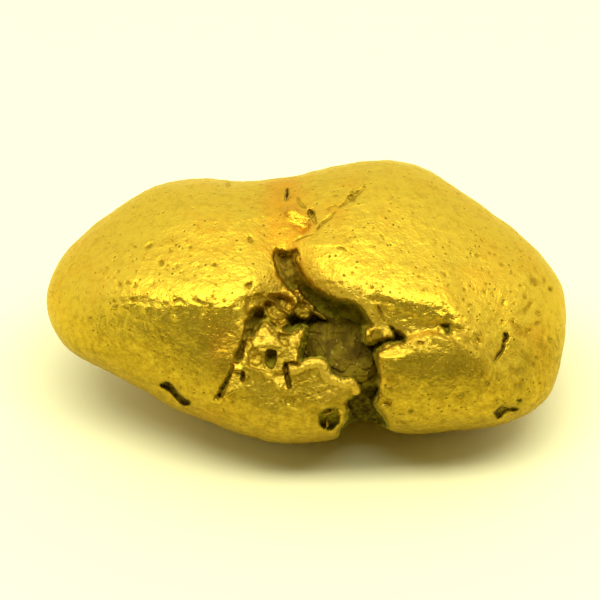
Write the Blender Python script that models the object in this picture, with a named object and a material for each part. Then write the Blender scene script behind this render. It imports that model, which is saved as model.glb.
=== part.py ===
"""Waterworn gold nugget with a remnant of iron-stained quartz lodged in its torn crevice.

The nugget is worked out in its own leaning frame and then laid down on its worn underside:
U runs along its length, V up its broad face, and W straight out of that face, which leans
back from upright by LEAN. Lengths in this frame are in millimetres; the scene is in metres.
"""

import math

import bmesh
import bpy
import numpy as np
from mathutils import Matrix, Vector

MM = 0.001
LEAN = math.radians(42.0)  # how far the broad face leans back from upright
CENTRE_BACK = -0.01  # the leaning frame's centre behind the middle of the whole
CENTRE_HEIGHT = 2.96  # and above the table; lower gives a larger worn flat

# Outline of the broad face, seen square on, anticlockwise from the blunt right end.
# The whole is 14.0 long and 7.7 across.
OUTLINE = [
    (7.00, -0.90), (6.98, 0.10), (6.80, 0.68), (6.35, 1.28), (5.72, 1.86), (4.95, 2.46),
    (4.22, 2.98), (3.49, 3.47), (2.80, 3.74), (1.90, 3.85), (1.00, 3.73), (0.10, 3.54),
    (-0.80, 3.37), (-1.80, 3.25), (-2.80, 3.31), (-3.68, 3.22), (-4.43, 2.99), (-5.05, 2.62),
    (-5.68, 2.10), (-6.30, 1.53), (-6.78, 0.88), (-7.00, 0.10), (-6.86, -0.65), (-6.30, -1.38),
    (-5.24, -1.95), (-4.24, -2.48), (-3.49, -2.93), (-2.60, -3.28), (-1.70, -3.60), (-0.73, -3.82),
    (0.20, -3.80), (1.20, -3.66), (2.20, -3.56), (3.10, -3.58), (4.05, -3.50), (5.11, -3.37),
    (5.97, -3.06), (6.52, -2.60), (6.80, -1.95),
]
HALF_LENGTH = 7.0

# Swell of the body before and behind the outline.
SHEAR = -0.30  # the upper rim lies further back than the lower rim
FRONT_SWELL = 3.45
FRONT_SWELL_RIGHT = 0.10  # the right lobe is this much fuller
BACK_SWELL = 3.75
BACK_SWELL_RIGHT = 0.30
FRONT_POWERS = (2.6, 2.1)  # of the superellipse that closes the front, and its root
BACK_POWERS = (2.3, 2.1)

# Brows: the edges where the worn upper faces turn down into the steep front.
LEFT_BROW = [
    (-7.5, -0.2), (-6.65, -0.05), (-5.57, 0.00), (-4.76, 0.03), (-3.95, -0.05), (-2.86, -0.08),
    (-2.05, -0.05), (-1.46, 0.11), (-0.97, 0.35), (-0.70, 0.68), (0.0, 1.2),
]
RIGHT_BROW = [
    (-0.6, 1.6), (-0.22, 1.05), (-0.03, 0.73), (0.32, 0.48), (0.95, 0.33), (1.62, 0.20),
    (2.20, 0.05), (2.60, -0.05), (3.04, -0.14), (3.50, -0.22), (3.82, -0.30), (4.04, -0.60),
    (4.35, -0.86), (4.90, -1.18), (5.6, -1.5),
]
LEFT_BROW_RISE, LEFT_BROW_DROP = 0.38, 0.36
RIGHT_BROW_RISE, RIGHT_BROW_DROP = 0.43, 0.64
BROW_SPREAD = 1.3  # how far above the brow its swelling reaches
BROW_FACE = 0.80  # height of the steep step under the brow
BROW_FADE = 2.6
BROW_SOFTNESS = 0.16  # how rounded the edge is

# Lower right block, which stands forward again under the right brow.
BLOCK_TOP = [
    (1.4, -1.6), (2.11, -1.31), (2.41, -1.10), (2.81, -0.93), (3.22, -0.84), (3.62, -0.78),
    (4.03, -0.87), (4.43, -1.08), (4.84, -1.30), (6.0, -1.9),
]
BLOCK_RISE = 0.50

# Waist between the two lobes.
WAIST = [(-1.2, 3.9), (-0.84, 3.13), (-0.43, 2.32), (-0.57, 1.38), (-0.16, 0.3)]
WAIST_DEPTH_TOP, WAIST_DEPTH_FRONT = 0.15, 0.55
WAIST_WIDTH = 0.95

# Torn crevice: the outlines of the mouths of its slot and cavity and of the gap that runs on from
# them to the underside, and the W of each floor; the mouths are at about 2.6 to 3.7.
CREVICE = [
    (-0.84, 1.41), (-0.86, 1.11), (-0.77, 0.81), (-0.62, 0.47), (-0.41, 0.27), (-0.24, 0.00),
    (-0.35, -0.27), (-0.51, -0.41), (-0.54, -0.65), (-0.41, -0.81), (-0.16, -0.68), (-0.05, -0.78),
    (-0.16, -1.14), (-0.24, -1.65), (-0.05, -1.76), (0.14, -1.62), (0.41, -1.62), (0.57, -1.81),
    (0.59, -2.03), (0.84, -2.15), (1.14, -2.13), (1.27, -2.19), (1.39, -2.38), (1.24, -2.51),
    (1.20, -2.70), (2.04, -2.70), (2.04, -2.43), (2.00, -2.24), (2.11, -2.05), (2.00, -1.73),
    (1.92, -1.42), (2.08, -1.19), (2.30, -1.08), (2.22, -0.95), (1.65, -1.08), (1.59, -0.76),
    (1.78, -0.65), (1.62, -0.35), (1.39, -0.05), (1.08, 0.03), (0.68, 0.14), (0.32, 0.32),
    (0.11, 0.51), (-0.12, 0.78), (-0.24, 1.05), (-0.22, 1.38), (-0.52, 1.33),
]
GAP = [
    (1.30, -2.30), (1.24, -2.51), (1.08, -2.59), (1.03, -2.78), (1.08, -2.97), (1.00, -3.24),
    (0.81, -3.54), (0.86, -4.3), (2.32, -4.3), (2.22, -3.32), (2.04, -2.95), (1.89, -2.70),
    (2.04, -2.43), (2.00, -2.24),
]
CREVICE_FLOOR, GAP_FLOOR = 2.2, 1.05
RAGGED_STEP = 0.22  # spacing of the small teeth along the crevice's edge
RAGGED_DEPTH = 0.04
FLOOR_TAPER = 0.90  # each floor is this much smaller than its mouth
DIAGONAL_SLOT = [
    (-1.72, -0.45), (-1.92, -1.32), (-2.24, -2.05), (-2.55, -2.62), (-2.38, -2.70), (-2.02, -2.12),
    (-1.68, -1.30), (-1.52, -0.45),
]
DIAGONAL_DEPTH = 0.55
CUTTER_TOP = 6.0  # cutters reach this far out along W

# Broad dents, mostly on the back and the underside: angle round W and angle away from W in
# degrees, spread in degrees, and depth.
DENTS = [
    (75, 118, 16, 0.34), (140, 128, 19, 0.38), (20, 132, 17, 0.36), (100, 152, 20, 0.30),
    (200, 115, 14, 0.24), (340, 115, 13, 0.22), (235, 140, 18, 0.30), (300, 128, 16, 0.30),
    (110, 108, 12, 0.20), (45, 112, 12, 0.20),
]
DENT_REACH = 4.0  # rough distance from the centre at which a dent has its full depth

# Notch that the gap leaves in the lower rim: its angle round W, half-width and share of the reach.
NOTCH_ANGLE, NOTCH_WIDTH, NOTCH_SHARE = math.radians(-66.5), math.radians(9.0), 0.10

# Hollows and larger pits: centre on the face (U, V), half-sizes along U, V, W, turn in degrees.
HOLLOWS = {
    "torn_hollow": ((-1.28, -0.42), (0.30, 0.34, 0.55), 0),
    "square_hole": ((-0.96, -1.65), (0.15, 0.28, 0.45), 0),
    "short_slit": ((-0.51, -2.13), (0.09, 0.24, 0.35), 0),
    "lower_hole": ((0.62, -3.13), (0.32, 0.36, 0.50), 20),
    "comma_pit": ((-3.52, -2.42), (0.46, 0.13, 0.30), -36),
    "brow_pit": ((3.72, -0.70), (0.13, 0.13, 0.30), 0),
    "brow_pocket": ((2.48, -0.88), (0.14, 0.28, 0.35), 20),
    "waist_hole": ((0.14, 2.33), (0.09, 0.20, 0.25), 30),
    "top_hole": ((1.18, 2.80), (0.10, 0.14, 0.20), -20),
    "side_crack_upper": ((5.30, -1.05), (0.09, 0.18, 0.22), -20),
    "side_crack_lower": ((5.10, -1.43), (0.08, 0.22, 0.22), -30),
    "side_pit": ((5.36, -2.97), (0.28, 0.12, 0.22), 25),
}

# Spurs and crumbs of torn gold that stand in and round the crevice: the same measures, then how
# far the centre is pushed out from the body's own surface.
SPURS = {
    "crumb_left": ((-0.84, -0.28), (0.34, 0.32, 0.34), -30, -0.10),
    "crumb_bridge": ((-0.42, 0.12), (0.42, 0.17, 0.40), -25, -0.25),
    "crest": ((-1.08, -0.92), (0.40, 0.24, 0.40), 0, -0.05),
    "spike": ((-0.40, -1.05), (0.17, 0.36, 0.40), -20, -0.15),
    "flap_crest": ((0.10, -1.80), (0.52, 0.20, 0.45), 0, -0.12),
    "flap_end": ((0.98, -2.36), (0.30, 0.15, 0.40), -15, -0.15),
    "knob": ((2.02, -0.80), (0.30, 0.15, 0.42), 5, -0.20),
}

# Quartz remnant at the bottom of the crevice.
QUARTZ_CENTRE = (0.98, -1.27, 2.0)
QUARTZ_HALF_SIZE = (1.00, 0.94, 0.60)
QUARTZ_SQUARE = 3.2  # power of the superellipsoid; 2 would be a plain ellipsoid
QUARTZ_SLOPE = -0.45  # the stone's upper end lies deeper
QUARTZ_CLEARANCE = 0.25  # air between the stone and the gold round it
QUARTZ_ROUGHNESS = 0.05

BODY_SUBDIVISIONS = 6
BODY_KEEP = 0.22  # share of the triangles kept when the flatter stretches are thinned
HOLLOW_SUBDIVISIONS = 2

GOLD = dict(name="native_gold", color=(0.86, 0.58, 0.05, 1.0), metallic=1.0, roughness=0.45)
QUARTZ = dict(name="stained_quartz", color=(0.16, 0.10, 0.03, 1.0), metallic=0.0, roughness=0.35)


def remove_everything():
    for thing in list(bpy.data.objects):
        bpy.data.objects.remove(thing, do_unlink=True)


def new_collection(name):
    collection = bpy.data.collections.new(name)
    bpy.context.scene.collection.children.link(collection)
    return collection


def spline(points, closed=False, steps=16):
    """Points on a Catmull-Rom curve through the given points."""
    p = np.asarray(points, float)
    if closed:
        before, after, beyond = np.roll(p, 1, 0), np.roll(p, -1, 0), np.roll(p, -2, 0)
    else:
        ends = np.vstack([2 * p[0] - p[1], p, 2 * p[-1] - p[-2]])
        before, p, after, beyond = ends[:-3], ends[1:-2], ends[2:-1], ends[3:]
    t = np.linspace(0.0, 1.0, steps, endpoint=False)[:, None, None]
    curve = 0.5 * (
        2 * p
        + (after - before) * t
        + (2 * before - 5 * p + 4 * after - beyond) * t**2
        + (3 * p - before - 3 * after + beyond) * t**3
    )
    return curve.transpose(1, 0, 2).reshape(-1, p.shape[1])


def outline_radius(angle):
    """How far the outline lies from the centre, in the direction of each angle."""
    rim = spline(OUTLINE, closed=True)
    at = np.arctan2(rim[:, 1], rim[:, 0])
    order = np.argsort(at)
    return np.interp(angle, at[order], np.hypot(rim[:, 0], rim[:, 1])[order], period=2 * math.pi)


def ease(x, start, end):
    t = np.clip((x - start) / (end - start), 0.0, 1.0)
    return t * t * (3 - 2 * t)


def height_of(line, u):
    """V of a curve through the points of line, at each u."""
    curve = spline(line)
    return np.interp(u, curve[:, 0], curve[:, 1])


def soft_positive(x, softness):
    return softness * np.logaddexp(0.0, x / softness)


def brow(x, rise, drop):
    """A rounded swelling that ends in a steep step: x is the height above the edge."""
    below = soft_positive(-x, BROW_SOFTNESS)
    fade = np.exp(-((below / BROW_FADE) ** 2))
    swelling = rise * np.exp(-((np.clip(x, 0.0, None) / BROW_SPREAD) ** 2))
    return (swelling - drop * np.tanh(below / BROW_FACE)) * fade


def waist(u, v):
    """The groove between the lobes: a rounded trough along the waist's line."""
    line = spline(WAIST)
    offset = np.hypot(u[..., None] - line[:, 0], v[..., None] - line[:, 1])
    nearest = offset.min(-1)
    along = offset.argmin(-1) / len(line)
    depth = WAIST_DEPTH_TOP + (WAIST_DEPTH_FRONT - WAIST_DEPTH_TOP) * along
    return depth * np.exp(-((nearest / WAIST_WIDTH) ** 2))


def front_relief(u, v):
    """What the brows, the block and the waist add to the front's plain swell."""
    left = ease(u, -6.6, -4.0) * (1 - ease(u, -1.5, -0.3))
    right = ease(u, -0.9, 0.4) * (1 - ease(u, 3.4, 5.4))
    relief = left * brow(v - height_of(LEFT_BROW, u), LEFT_BROW_RISE, LEFT_BROW_DROP)
    relief += right * brow(v - height_of(RIGHT_BROW, u), RIGHT_BROW_RISE, RIGHT_BROW_DROP)
    under = height_of(BLOCK_TOP, u) - v
    block = np.tanh(soft_positive(under, BROW_SOFTNESS) / 0.25) * np.exp(-np.clip(under, 0.0, None) / 1.8)
    relief += BLOCK_RISE * block * ease(u, 1.6, 2.4) * (1 - ease(u, 4.2, 6.0))
    return relief - waist(u, v)


def swell(u, v, share, front):
    """W of the body's surface where share is the part of the way out to the outline."""
    p, q = FRONT_POWERS
    side = u / HALF_LENGTH
    forward = (FRONT_SWELL + FRONT_SWELL_RIGHT * side) * (1 - share**p) ** (1 / q)
    forward += front_relief(u, v) * (1 - ease(share, 0.9, 1.0))
    p, q = BACK_POWERS
    backward = -(BACK_SWELL + BACK_SWELL_RIGHT * side) * (1 - share**p) ** (1 / q)
    return SHEAR * v + np.where(front, forward, backward)


def surface_out(u, v):
    """W of the front surface at one place on the broad face."""
    u, v = np.atleast_1d(float(u)), np.atleast_1d(float(v))
    share = np.hypot(u, v) / outline_radius(np.arctan2(v, u))
    return float(swell(u, v, np.clip(share, 0.0, 1.0), True)[0])


def frame_matrix(u, v, w, turn=0.0):
    """Places local X, Y, Z along U, V, W at the given point, turned about W."""
    c, s = math.cos(LEAN), math.sin(LEAN)
    axes = Matrix(((1, 0, 0, 0), (0, s, -c, 0), (0, c, s, 0), (0, 0, 0, 1)))
    place = axes @ Vector((u, v, w)) + Vector((0, CENTRE_BACK, CENTRE_HEIGHT))
    move = Matrix.Translation(place * MM)
    return move @ axes @ Matrix.Rotation(turn, 4, "Z") @ Matrix.Scale(MM, 4)


def finish_object(name, mesh, collection, smooth=True):
    if smooth:
        mesh.shade_smooth()
    thing = bpy.data.objects.new(name, mesh)
    collection.objects.link(thing)
    return thing


def make_tool(thing):
    thing.hide_render = True
    thing.display_type = "WIRE"
    return thing


def ball(name, subdivisions, shape, collection):
    """An icosphere whose unit points are moved by a function of their whole array."""
    mesh = bpy.data.meshes.new(name)
    bm = bmesh.new()
    bmesh.ops.create_icosphere(bm, subdivisions=subdivisions, radius=1.0)
    bm.to_mesh(mesh)
    bm.free()
    points = np.empty(len(mesh.vertices) * 3)
    mesh.vertices.foreach_get("co", points)
    points = shape(points.reshape(-1, 3).T)
    mesh.vertices.foreach_set("co", points.T.ravel())
    mesh.update()
    return finish_object(name, mesh, collection)


def lump(name, centre, half_size, turn, collection):
    """A plain ellipsoid set in the leaning frame."""
    place = np.array(frame_matrix(*centre, math.radians(turn)))
    size = np.array(half_size)[:, None]

    def shape(points):
        return place[:3, :3] @ (points * size) + place[:3, 3:]

    return make_tool(ball(name, HOLLOW_SUBDIVISIONS, shape, collection))


def ragged(outline):
    """The outline with small uneven teeth: points a step apart, moved in and out by two sines."""
    corners = np.array(outline)
    edges = np.roll(corners, -1, 0) - corners
    points = []
    for corner, edge in zip(corners, edges):
        length = np.hypot(*edge)
        across = np.array((edge[1], -edge[0])) / length
        count = max(1, round(length / RAGGED_STEP))
        for k in range(count):
            at = corner + edge * k / count
            tooth = math.sin(9.1 * at[0] + 5.3 * at[1]) + math.sin(4.7 * at[0] - 11.3 * at[1] + 1.0)
            points.append(at + across * tooth * RAGGED_DEPTH * 0.5)
    return points


def prism(name, mouth, floor, collection, taper=1.0):
    """A flat outline drawn out along W, from its narrower floor to well outside the body."""
    curve = bpy.data.curves.new(name, "CURVE")
    curve.dimensions = "2D"
    curve.fill_mode = "BOTH"
    curve.extrude = (CUTTER_TOP - floor) / 2
    line = curve.splines.new("POLY")
    line.points.add(len(mouth) - 1)
    for point, (u, v) in zip(line.points, mouth):
        point.co = (u, v, 0.0, 1.0)
    line.use_cyclic_u = True
    drawn = bpy.data.objects.new(name + "_curve", curve)
    collection.objects.link(drawn)
    bpy.context.view_layer.update()
    mesh = bpy.data.meshes.new_from_object(drawn.evaluated_get(bpy.context.evaluated_depsgraph_get()))
    bpy.data.objects.remove(drawn, do_unlink=True)
    bm = bmesh.new()
    bm.from_mesh(mesh)
    bmesh.ops.remove_doubles(bm, verts=bm.verts, dist=1e-4)
    bmesh.ops.recalc_face_normals(bm, faces=bm.faces)
    middle = Vector((*np.mean(mouth, axis=0), 0.0))
    low = [vert for vert in bm.verts if vert.co.z < 0]
    bmesh.ops.scale(bm, vec=(taper, taper, 1.0), space=Matrix.Translation(-middle), verts=low)
    bmesh.ops.transform(bm, matrix=frame_matrix(0, 0, (CUTTER_TOP + floor) / 2), verts=bm.verts)
    bm.to_mesh(mesh)
    bm.free()
    return make_tool(finish_object(name, mesh, collection, smooth=False))


def boolean(target, name, operation, tools):
    modifier = target.modifiers.new(name, "BOOLEAN")
    modifier.operation = operation
    modifier.solver = "EXACT"
    modifier.operand_type = "COLLECTION"
    modifier.collection = tools


def material(name, color, metallic, roughness):
    made = bpy.data.materials.new(name)
    made.use_nodes = True
    shader = made.node_tree.nodes["Principled BSDF"]
    shader.inputs["Base Color"].default_value = color
    shader.inputs["Metallic"].default_value = metallic
    shader.inputs["Roughness"].default_value = roughness
    return made


def dents(x, y, z):
    """Share of the distance from the centre that the broad dents take away, at unit directions."""
    taken = np.zeros(x.shape)
    for around, away, spread, depth in DENTS:
        around, away, spread = math.radians(around), math.radians(away), math.radians(spread)
        across = math.sin(away)
        toward = x * across * math.cos(around) + y * across * math.sin(around) + z * math.cos(away)
        taken += depth / DENT_REACH * np.exp(-(1 - toward) * 2 / spread**2)
    return taken


def body_shape(points):
    """Unit directions of the leaning frame to points of the body's surface."""
    x, y, z = points
    share = np.sqrt(np.clip(1 - z**2, 0.0, 1.0))
    angle = np.arctan2(y, x)
    notch = np.exp(-(((angle - NOTCH_ANGLE) / NOTCH_WIDTH) ** 4)) * ease(share, 0.75, 1.0)
    reach = share * outline_radius(angle) * (1 - NOTCH_SHARE * notch)
    u, v = reach * np.cos(angle), reach * np.sin(angle)
    w = swell(u, v, share, z >= 0)
    place = np.array(frame_matrix(0, 0, 0))
    return place[:3, :3] @ (np.array([u, v, w]) * (1 - dents(x, y, z))) + place[:3, 3:]


def quartz_shape(grow):
    """A small rough lump, made larger all round by grow."""
    place = np.array(frame_matrix(*QUARTZ_CENTRE))
    size = np.array(QUARTZ_HALF_SIZE)[:, None] + grow

    def shape(points):
        x, y, z = points
        reach = (np.abs(points) ** QUARTZ_SQUARE).sum(0) ** (-1 / QUARTZ_SQUARE)
        reach += QUARTZ_ROUGHNESS * np.sin(5 * x + 1) * np.sin(4 * y + 2)
        reach += QUARTZ_ROUGHNESS * np.sin(6 * z + 3 * x) * np.sin(5 * y)
        points = points * size * reach
        points[2] += QUARTZ_SLOPE * points[1]
        return place[:3, :3] @ points + place[:3, 3:]

    return shape


def make_crevice_tools():
    """Everything that is open in the nugget's front."""
    tools = new_collection("crevice_tools")
    prism("crevice", ragged(CREVICE), CREVICE_FLOOR, tools, FLOOR_TAPER)
    prism("gap", ragged(GAP), GAP_FLOOR, tools, FLOOR_TAPER)
    diagonal_floor = surface_out(*DIAGONAL_SLOT[1]) - DIAGONAL_DEPTH
    prism("diagonal_slot", DIAGONAL_SLOT, diagonal_floor, tools)
    make_tool(ball("quartz_pocket", 3, quartz_shape(QUARTZ_CLEARANCE), tools))
    for name, ((u, v), half_size, turn) in HOLLOWS.items():
        lump(name, (u, v, surface_out(u, v)), half_size, turn, tools)
    return tools


def make_spur_tools():
    """The torn edges, which are joined to the body."""
    tools = new_collection("spur_tools")
    for name, ((u, v), half_size, turn, push) in SPURS.items():
        lump(name, (u, v, surface_out(u, v) + push), half_size, turn, tools)
    return tools


def make_table_tools():
    """A block under the table plane, which leaves the worn flat on the underside."""
    tools = new_collection("table_tools")
    mesh = bpy.data.meshes.new("table_block")
    bm = bmesh.new()
    bmesh.ops.create_cube(bm, size=1.0)
    bmesh.ops.scale(bm, vec=(20 * MM, 20 * MM, 5 * MM), verts=bm.verts)
    bmesh.ops.translate(bm, vec=(0, 0, -2.5 * MM), verts=bm.verts)
    bm.to_mesh(mesh)
    bm.free()
    make_tool(finish_object("table_block", mesh, tools, smooth=False))
    return tools


def make_gold(collection):
    gold = ball("gold_nugget", BODY_SUBDIVISIONS, body_shape, collection)
    thin = gold.modifiers.new("thin_flat_stretches", "DECIMATE")
    thin.ratio = BODY_KEEP
    boolean(gold, "cut_crevice", "DIFFERENCE", make_crevice_tools())
    boolean(gold, "join_spurs", "UNION", make_spur_tools())
    boolean(gold, "wear_flat", "DIFFERENCE", make_table_tools())
    gold.data.materials.append(material(**GOLD))
    return gold


def make_quartz(collection):
    quartz = ball("quartz_remnant", 3, quartz_shape(0.0), collection)
    quartz.data.materials.append(material(**QUARTZ))
    return quartz


def main():
    remove_everything()
    collection = new_collection("gold_nugget")
    make_gold(collection)
    make_quartz(collection)


main()
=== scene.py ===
"""Waterworn gold nugget: the finished skins of the gold body and of the quartz remnant in its
crevice, on a plain pale table, with a soft lamp, room light and a camera.

The nugget is worked out in its own leaning frame, in millimetres: u runs along its length, v up
its broad face and w straight out of that face, which leans back from upright by LEAN.
"""

import itertools
import math

import bpy
import numpy as np
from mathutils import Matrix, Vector


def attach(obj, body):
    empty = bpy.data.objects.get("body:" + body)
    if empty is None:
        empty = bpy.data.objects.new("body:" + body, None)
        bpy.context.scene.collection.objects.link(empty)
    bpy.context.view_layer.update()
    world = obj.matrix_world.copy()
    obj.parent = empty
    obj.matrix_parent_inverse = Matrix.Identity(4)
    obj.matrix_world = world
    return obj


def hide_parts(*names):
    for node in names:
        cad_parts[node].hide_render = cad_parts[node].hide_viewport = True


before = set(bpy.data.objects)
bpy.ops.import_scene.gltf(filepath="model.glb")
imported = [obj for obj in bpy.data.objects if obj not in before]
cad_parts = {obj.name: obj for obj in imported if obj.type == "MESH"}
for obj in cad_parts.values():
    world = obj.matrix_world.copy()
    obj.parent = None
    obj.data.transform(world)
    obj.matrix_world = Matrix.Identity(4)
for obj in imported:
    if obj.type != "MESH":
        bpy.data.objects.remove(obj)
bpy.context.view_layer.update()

bl_info = {
    "name": "Gold nugget",
    "version": (1, 0, 0),
    "blender": (4, 5, 0),
    "location": "3D View > Sidebar > Nugget",
    "description": "Makes a waterworn gold nugget with a quartz remnant, on a lit table",
    "category": "Object",
}

# Lean of the broad face, the middle of the nugget and half its length in millimetres, and how
# softly its worn flat is rounded off.
MM = 0.001
LEAN = math.radians(42.0)
CENTRE_BACK, CENTRE_HEIGHT = -0.01, 2.96
HALF_LENGTH = 7.0
FLAT_SOFTNESS = 0.04

# Outline of the broad face, seen square on, anticlockwise from the blunt right end.
OUTLINE = [
    (7.0, -0.9), (6.98, 0.1), (6.8, 0.68), (6.35, 1.28), (5.72, 1.86), (4.95, 2.46), (4.22, 2.98),
    (3.49, 3.47), (2.8, 3.74), (1.9, 3.85), (1.0, 3.73), (0.1, 3.54), (-0.8, 3.37), (-1.8, 3.25),
    (-2.8, 3.31), (-3.68, 3.22), (-4.43, 2.99), (-5.05, 2.62), (-5.68, 2.1), (-6.3, 1.53),
    (-6.78, 0.88), (-7.0, 0.1), (-6.86, -0.65), (-6.3, -1.38), (-5.24, -1.95), (-4.24, -2.48),
    (-3.49, -2.93), (-2.6, -3.28), (-1.7, -3.6), (-0.73, -3.82), (0.2, -3.8), (1.2, -3.66),
    (2.2, -3.56), (3.1, -3.58), (4.05, -3.5), (5.11, -3.37), (5.97, -3.06), (6.52, -2.6), (6.8, -1.95),
]

# Swell of the body in front of the outline and behind it, and the powers of its domes.
SHEAR = -0.3
FRONT_SWELL, FRONT_SWELL_RIGHT = 3.45, 0.1
BACK_SWELL, BACK_SWELL_RIGHT = 3.75, 0.3
FRONT_POWERS = (2.6, 2.1)
BACK_POWERS = (2.3, 2.1)

# Brows, where the worn upper faces turn down into the steep front: their lines, where along u each
# rises and fades, and their shape.
LEFT_BROW = [
    (-7.5, -0.2), (-6.65, -0.05), (-5.57, 0.0), (-4.76, 0.03), (-3.95, -0.05), (-2.86, -0.08),
    (-2.05, -0.05), (-1.46, 0.11), (-0.97, 0.35), (-0.7, 0.68), (0.0, 1.2),
]
RIGHT_BROW = [
    (-0.6, 1.6), (-0.22, 1.05), (-0.03, 0.73), (0.32, 0.48), (0.95, 0.33), (1.62, 0.2), (2.2, 0.05),
    (2.6, -0.05), (3.04, -0.14), (3.5, -0.22), (3.82, -0.3), (4.04, -0.6), (4.35, -0.86), (4.9, -1.18),
    (5.6, -1.5),
]
LEFT_BROW_ENDS = ((-6.8, -4.6), (-1.5, -0.3))
RIGHT_BROW_ENDS = ((-0.9, 0.4), (3.4, 5.4))
LEFT_BROW_SHAPE = dict(rise=0.38, drop=0.36, softness=0.12)
RIGHT_BROW_SHAPE = dict(rise=0.43, drop=0.64, softness=0.12)
BROW_SPREAD, BROW_FACE, BROW_FADE = 1.3, 0.8, 2.6
BROW_WANDER, WANDER_SIZE = 0.07, 0.55

# Lower right block, which stands out under its top line.
BLOCK_TOP = [
    (1.4, -1.6), (2.11, -1.31), (2.41, -1.1), (2.81, -0.93), (3.22, -0.84), (3.62, -0.78),
    (4.03, -0.87), (4.43, -1.08), (4.84, -1.3), (6.0, -1.9),
]
BLOCK_ENDS = ((1.6, 2.4), (4.2, 6.0))
BLOCK_RISE, BLOCK_SOFTNESS, BLOCK_FACE, BLOCK_FADE = 0.5, 0.06, 0.25, 1.8

# Waist between the lobes, and the rim within which all this relief fades out, as shares of the
# outline's radius.
WAIST = [(-1.2, 3.9), (-0.84, 3.13), (-0.43, 2.32), (-0.57, 1.38), (-0.16, 0.3)]
WAIST_DEPTH_TOP, WAIST_DEPTH_FRONT, WAIST_WIDTH = 0.15, 0.55, 0.95
RIM_FADE = (0.9, 1.0)

# Broad dents on the back and underside: angle round w, angle away from w, spread, depth. The reach
# is how far out the skin is taken to be there.
DENTS = [
    (75, 118, 16, 0.34), (140, 128, 19, 0.38), (20, 132, 17, 0.36), (100, 152, 20, 0.3),
    (200, 115, 14, 0.24), (340, 115, 13, 0.22), (235, 140, 18, 0.3), (300, 128, 16, 0.3),
    (110, 108, 12, 0.2), (45, 112, 12, 0.2),
]
DENT_REACH = 4.0

# Torn crevice: slot, cavity and the gap that runs out of the bottom, with the notch that the gap
# leaves in the outline.
CREVICE = [
    (-0.84, 1.41), (-0.86, 1.11), (-0.77, 0.81), (-0.62, 0.47), (-0.41, 0.27), (-0.24, 0.0),
    (-0.35, -0.27), (-0.51, -0.41), (-0.54, -0.65), (-0.41, -0.81), (-0.16, -0.68), (-0.05, -0.78),
    (-0.16, -1.14), (-0.24, -1.65), (-0.05, -1.76), (0.14, -1.62), (0.41, -1.62), (0.57, -1.81),
    (0.59, -2.03), (0.84, -2.15), (1.14, -2.13), (1.27, -2.19), (1.39, -2.38), (1.24, -2.51),
    (1.2, -2.7), (2.04, -2.7), (1.89, -2.6), (2.04, -2.43), (2.0, -2.24), (2.11, -2.05), (2.0, -1.73),
    (1.92, -1.42), (2.08, -1.19), (2.3, -1.08), (2.22, -0.95), (1.65, -1.08), (1.59, -0.76),
    (1.78, -0.65), (1.62, -0.35), (1.39, -0.05), (1.08, 0.03), (0.68, 0.14), (0.32, 0.32), (0.11, 0.51),
    (-0.12, 0.78), (-0.24, 1.05), (-0.22, 1.38), (-0.52, 1.33),
]
GAP = [
    (1.3, -2.3), (1.24, -2.51), (1.08, -2.59), (1.03, -2.78), (1.08, -2.97), (1.0, -3.24),
    (0.81, -3.54), (0.86, -4.2), (2.32, -4.2), (2.22, -3.32), (2.04, -2.95), (1.89, -2.7),
    (2.04, -2.43), (2.0, -2.24),
]
SLOT_DEPTH, CAVITY_DEPTH = 0.45, 1.35
GAP_FLOOR, GAP_TOP, GAP_RIM = 0.95, -2.4, -3.35
NOTCH_ANGLE, NOTCH_WIDTH, NOTCH_DEPTH = math.radians(-66.5), math.radians(9.0), 0.1
NOTCH_FADE = (0.75, 1.0)

# Bridge, slabs and hollows across the crevice.
BRIDGE = [
    (-1.02, 0.26), (-0.8, 0.22), (-0.6, 0.21), (-0.43, 0.15), (-0.3, 0.08), (-0.12, 0.02), (0.0, -0.1),
    (0.1, -0.26), (0.14, -0.42), (0.02, -0.52), (-0.12, -0.48), (-0.28, -0.4), (-0.5, -0.34),
    (-0.75, -0.05), (-0.95, 0.1),
]
BRIDGE_SLOPE = [
    (-0.98, 0.16), (-0.74, 0.14), (-0.58, 0.12), (-0.42, 0.06), (-0.34, -0.12), (-0.44, -0.3),
    (-0.62, -0.2), (-0.8, -0.04),
]
OLIVE_SLAB = [
    (-0.39, -0.22), (-0.22, -0.12), (-0.05, -0.18), (0.08, -0.26), (0.14, -0.42), (0.0, -0.5),
    (-0.25, -0.42),
]
LUMP_SLAB = [
    (-1.1, -0.1), (-0.98, -0.03), (-0.8, -0.08), (-0.63, -0.22), (-0.48, -0.37), (-0.53, -0.54),
    (-0.69, -0.62), (-0.84, -0.49), (-0.99, -0.42),
]
LEFT_HOLLOW = [
    (-1.12, -0.14), (-0.98, -0.4), (-0.8, -0.6), (-0.77, -0.84), (-0.94, -0.7), (-1.12, -0.6),
    (-1.25, -0.74), (-1.42, -0.97), (-1.66, -1.0), (-1.66, -0.7), (-1.58, -0.42), (-1.4, -0.2),
]
DARK_POCKET = [
    (-0.48, -0.37), (-0.32, -0.42), (-0.08, -0.56), (-0.05, -0.75), (-0.22, -0.78), (-0.39, -0.85),
    (-0.6, -0.8), (-0.69, -0.7), (-0.54, -0.59),
]
KNOB = [
    (1.64, -0.88), (1.76, -0.78), (1.95, -0.73), (2.18, -0.75), (2.3, -0.84), (2.26, -0.93),
    (2.02, -0.93), (1.87, -0.97), (1.82, -1.06), (1.69, -1.08),
]
POCKET = [
    (2.18, -0.66), (2.3, -0.65), (2.44, -0.78), (2.64, -0.94), (2.63, -1.18), (2.47, -1.13),
    (2.32, -1.18), (2.23, -1.04), (2.33, -0.91),
]

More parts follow.
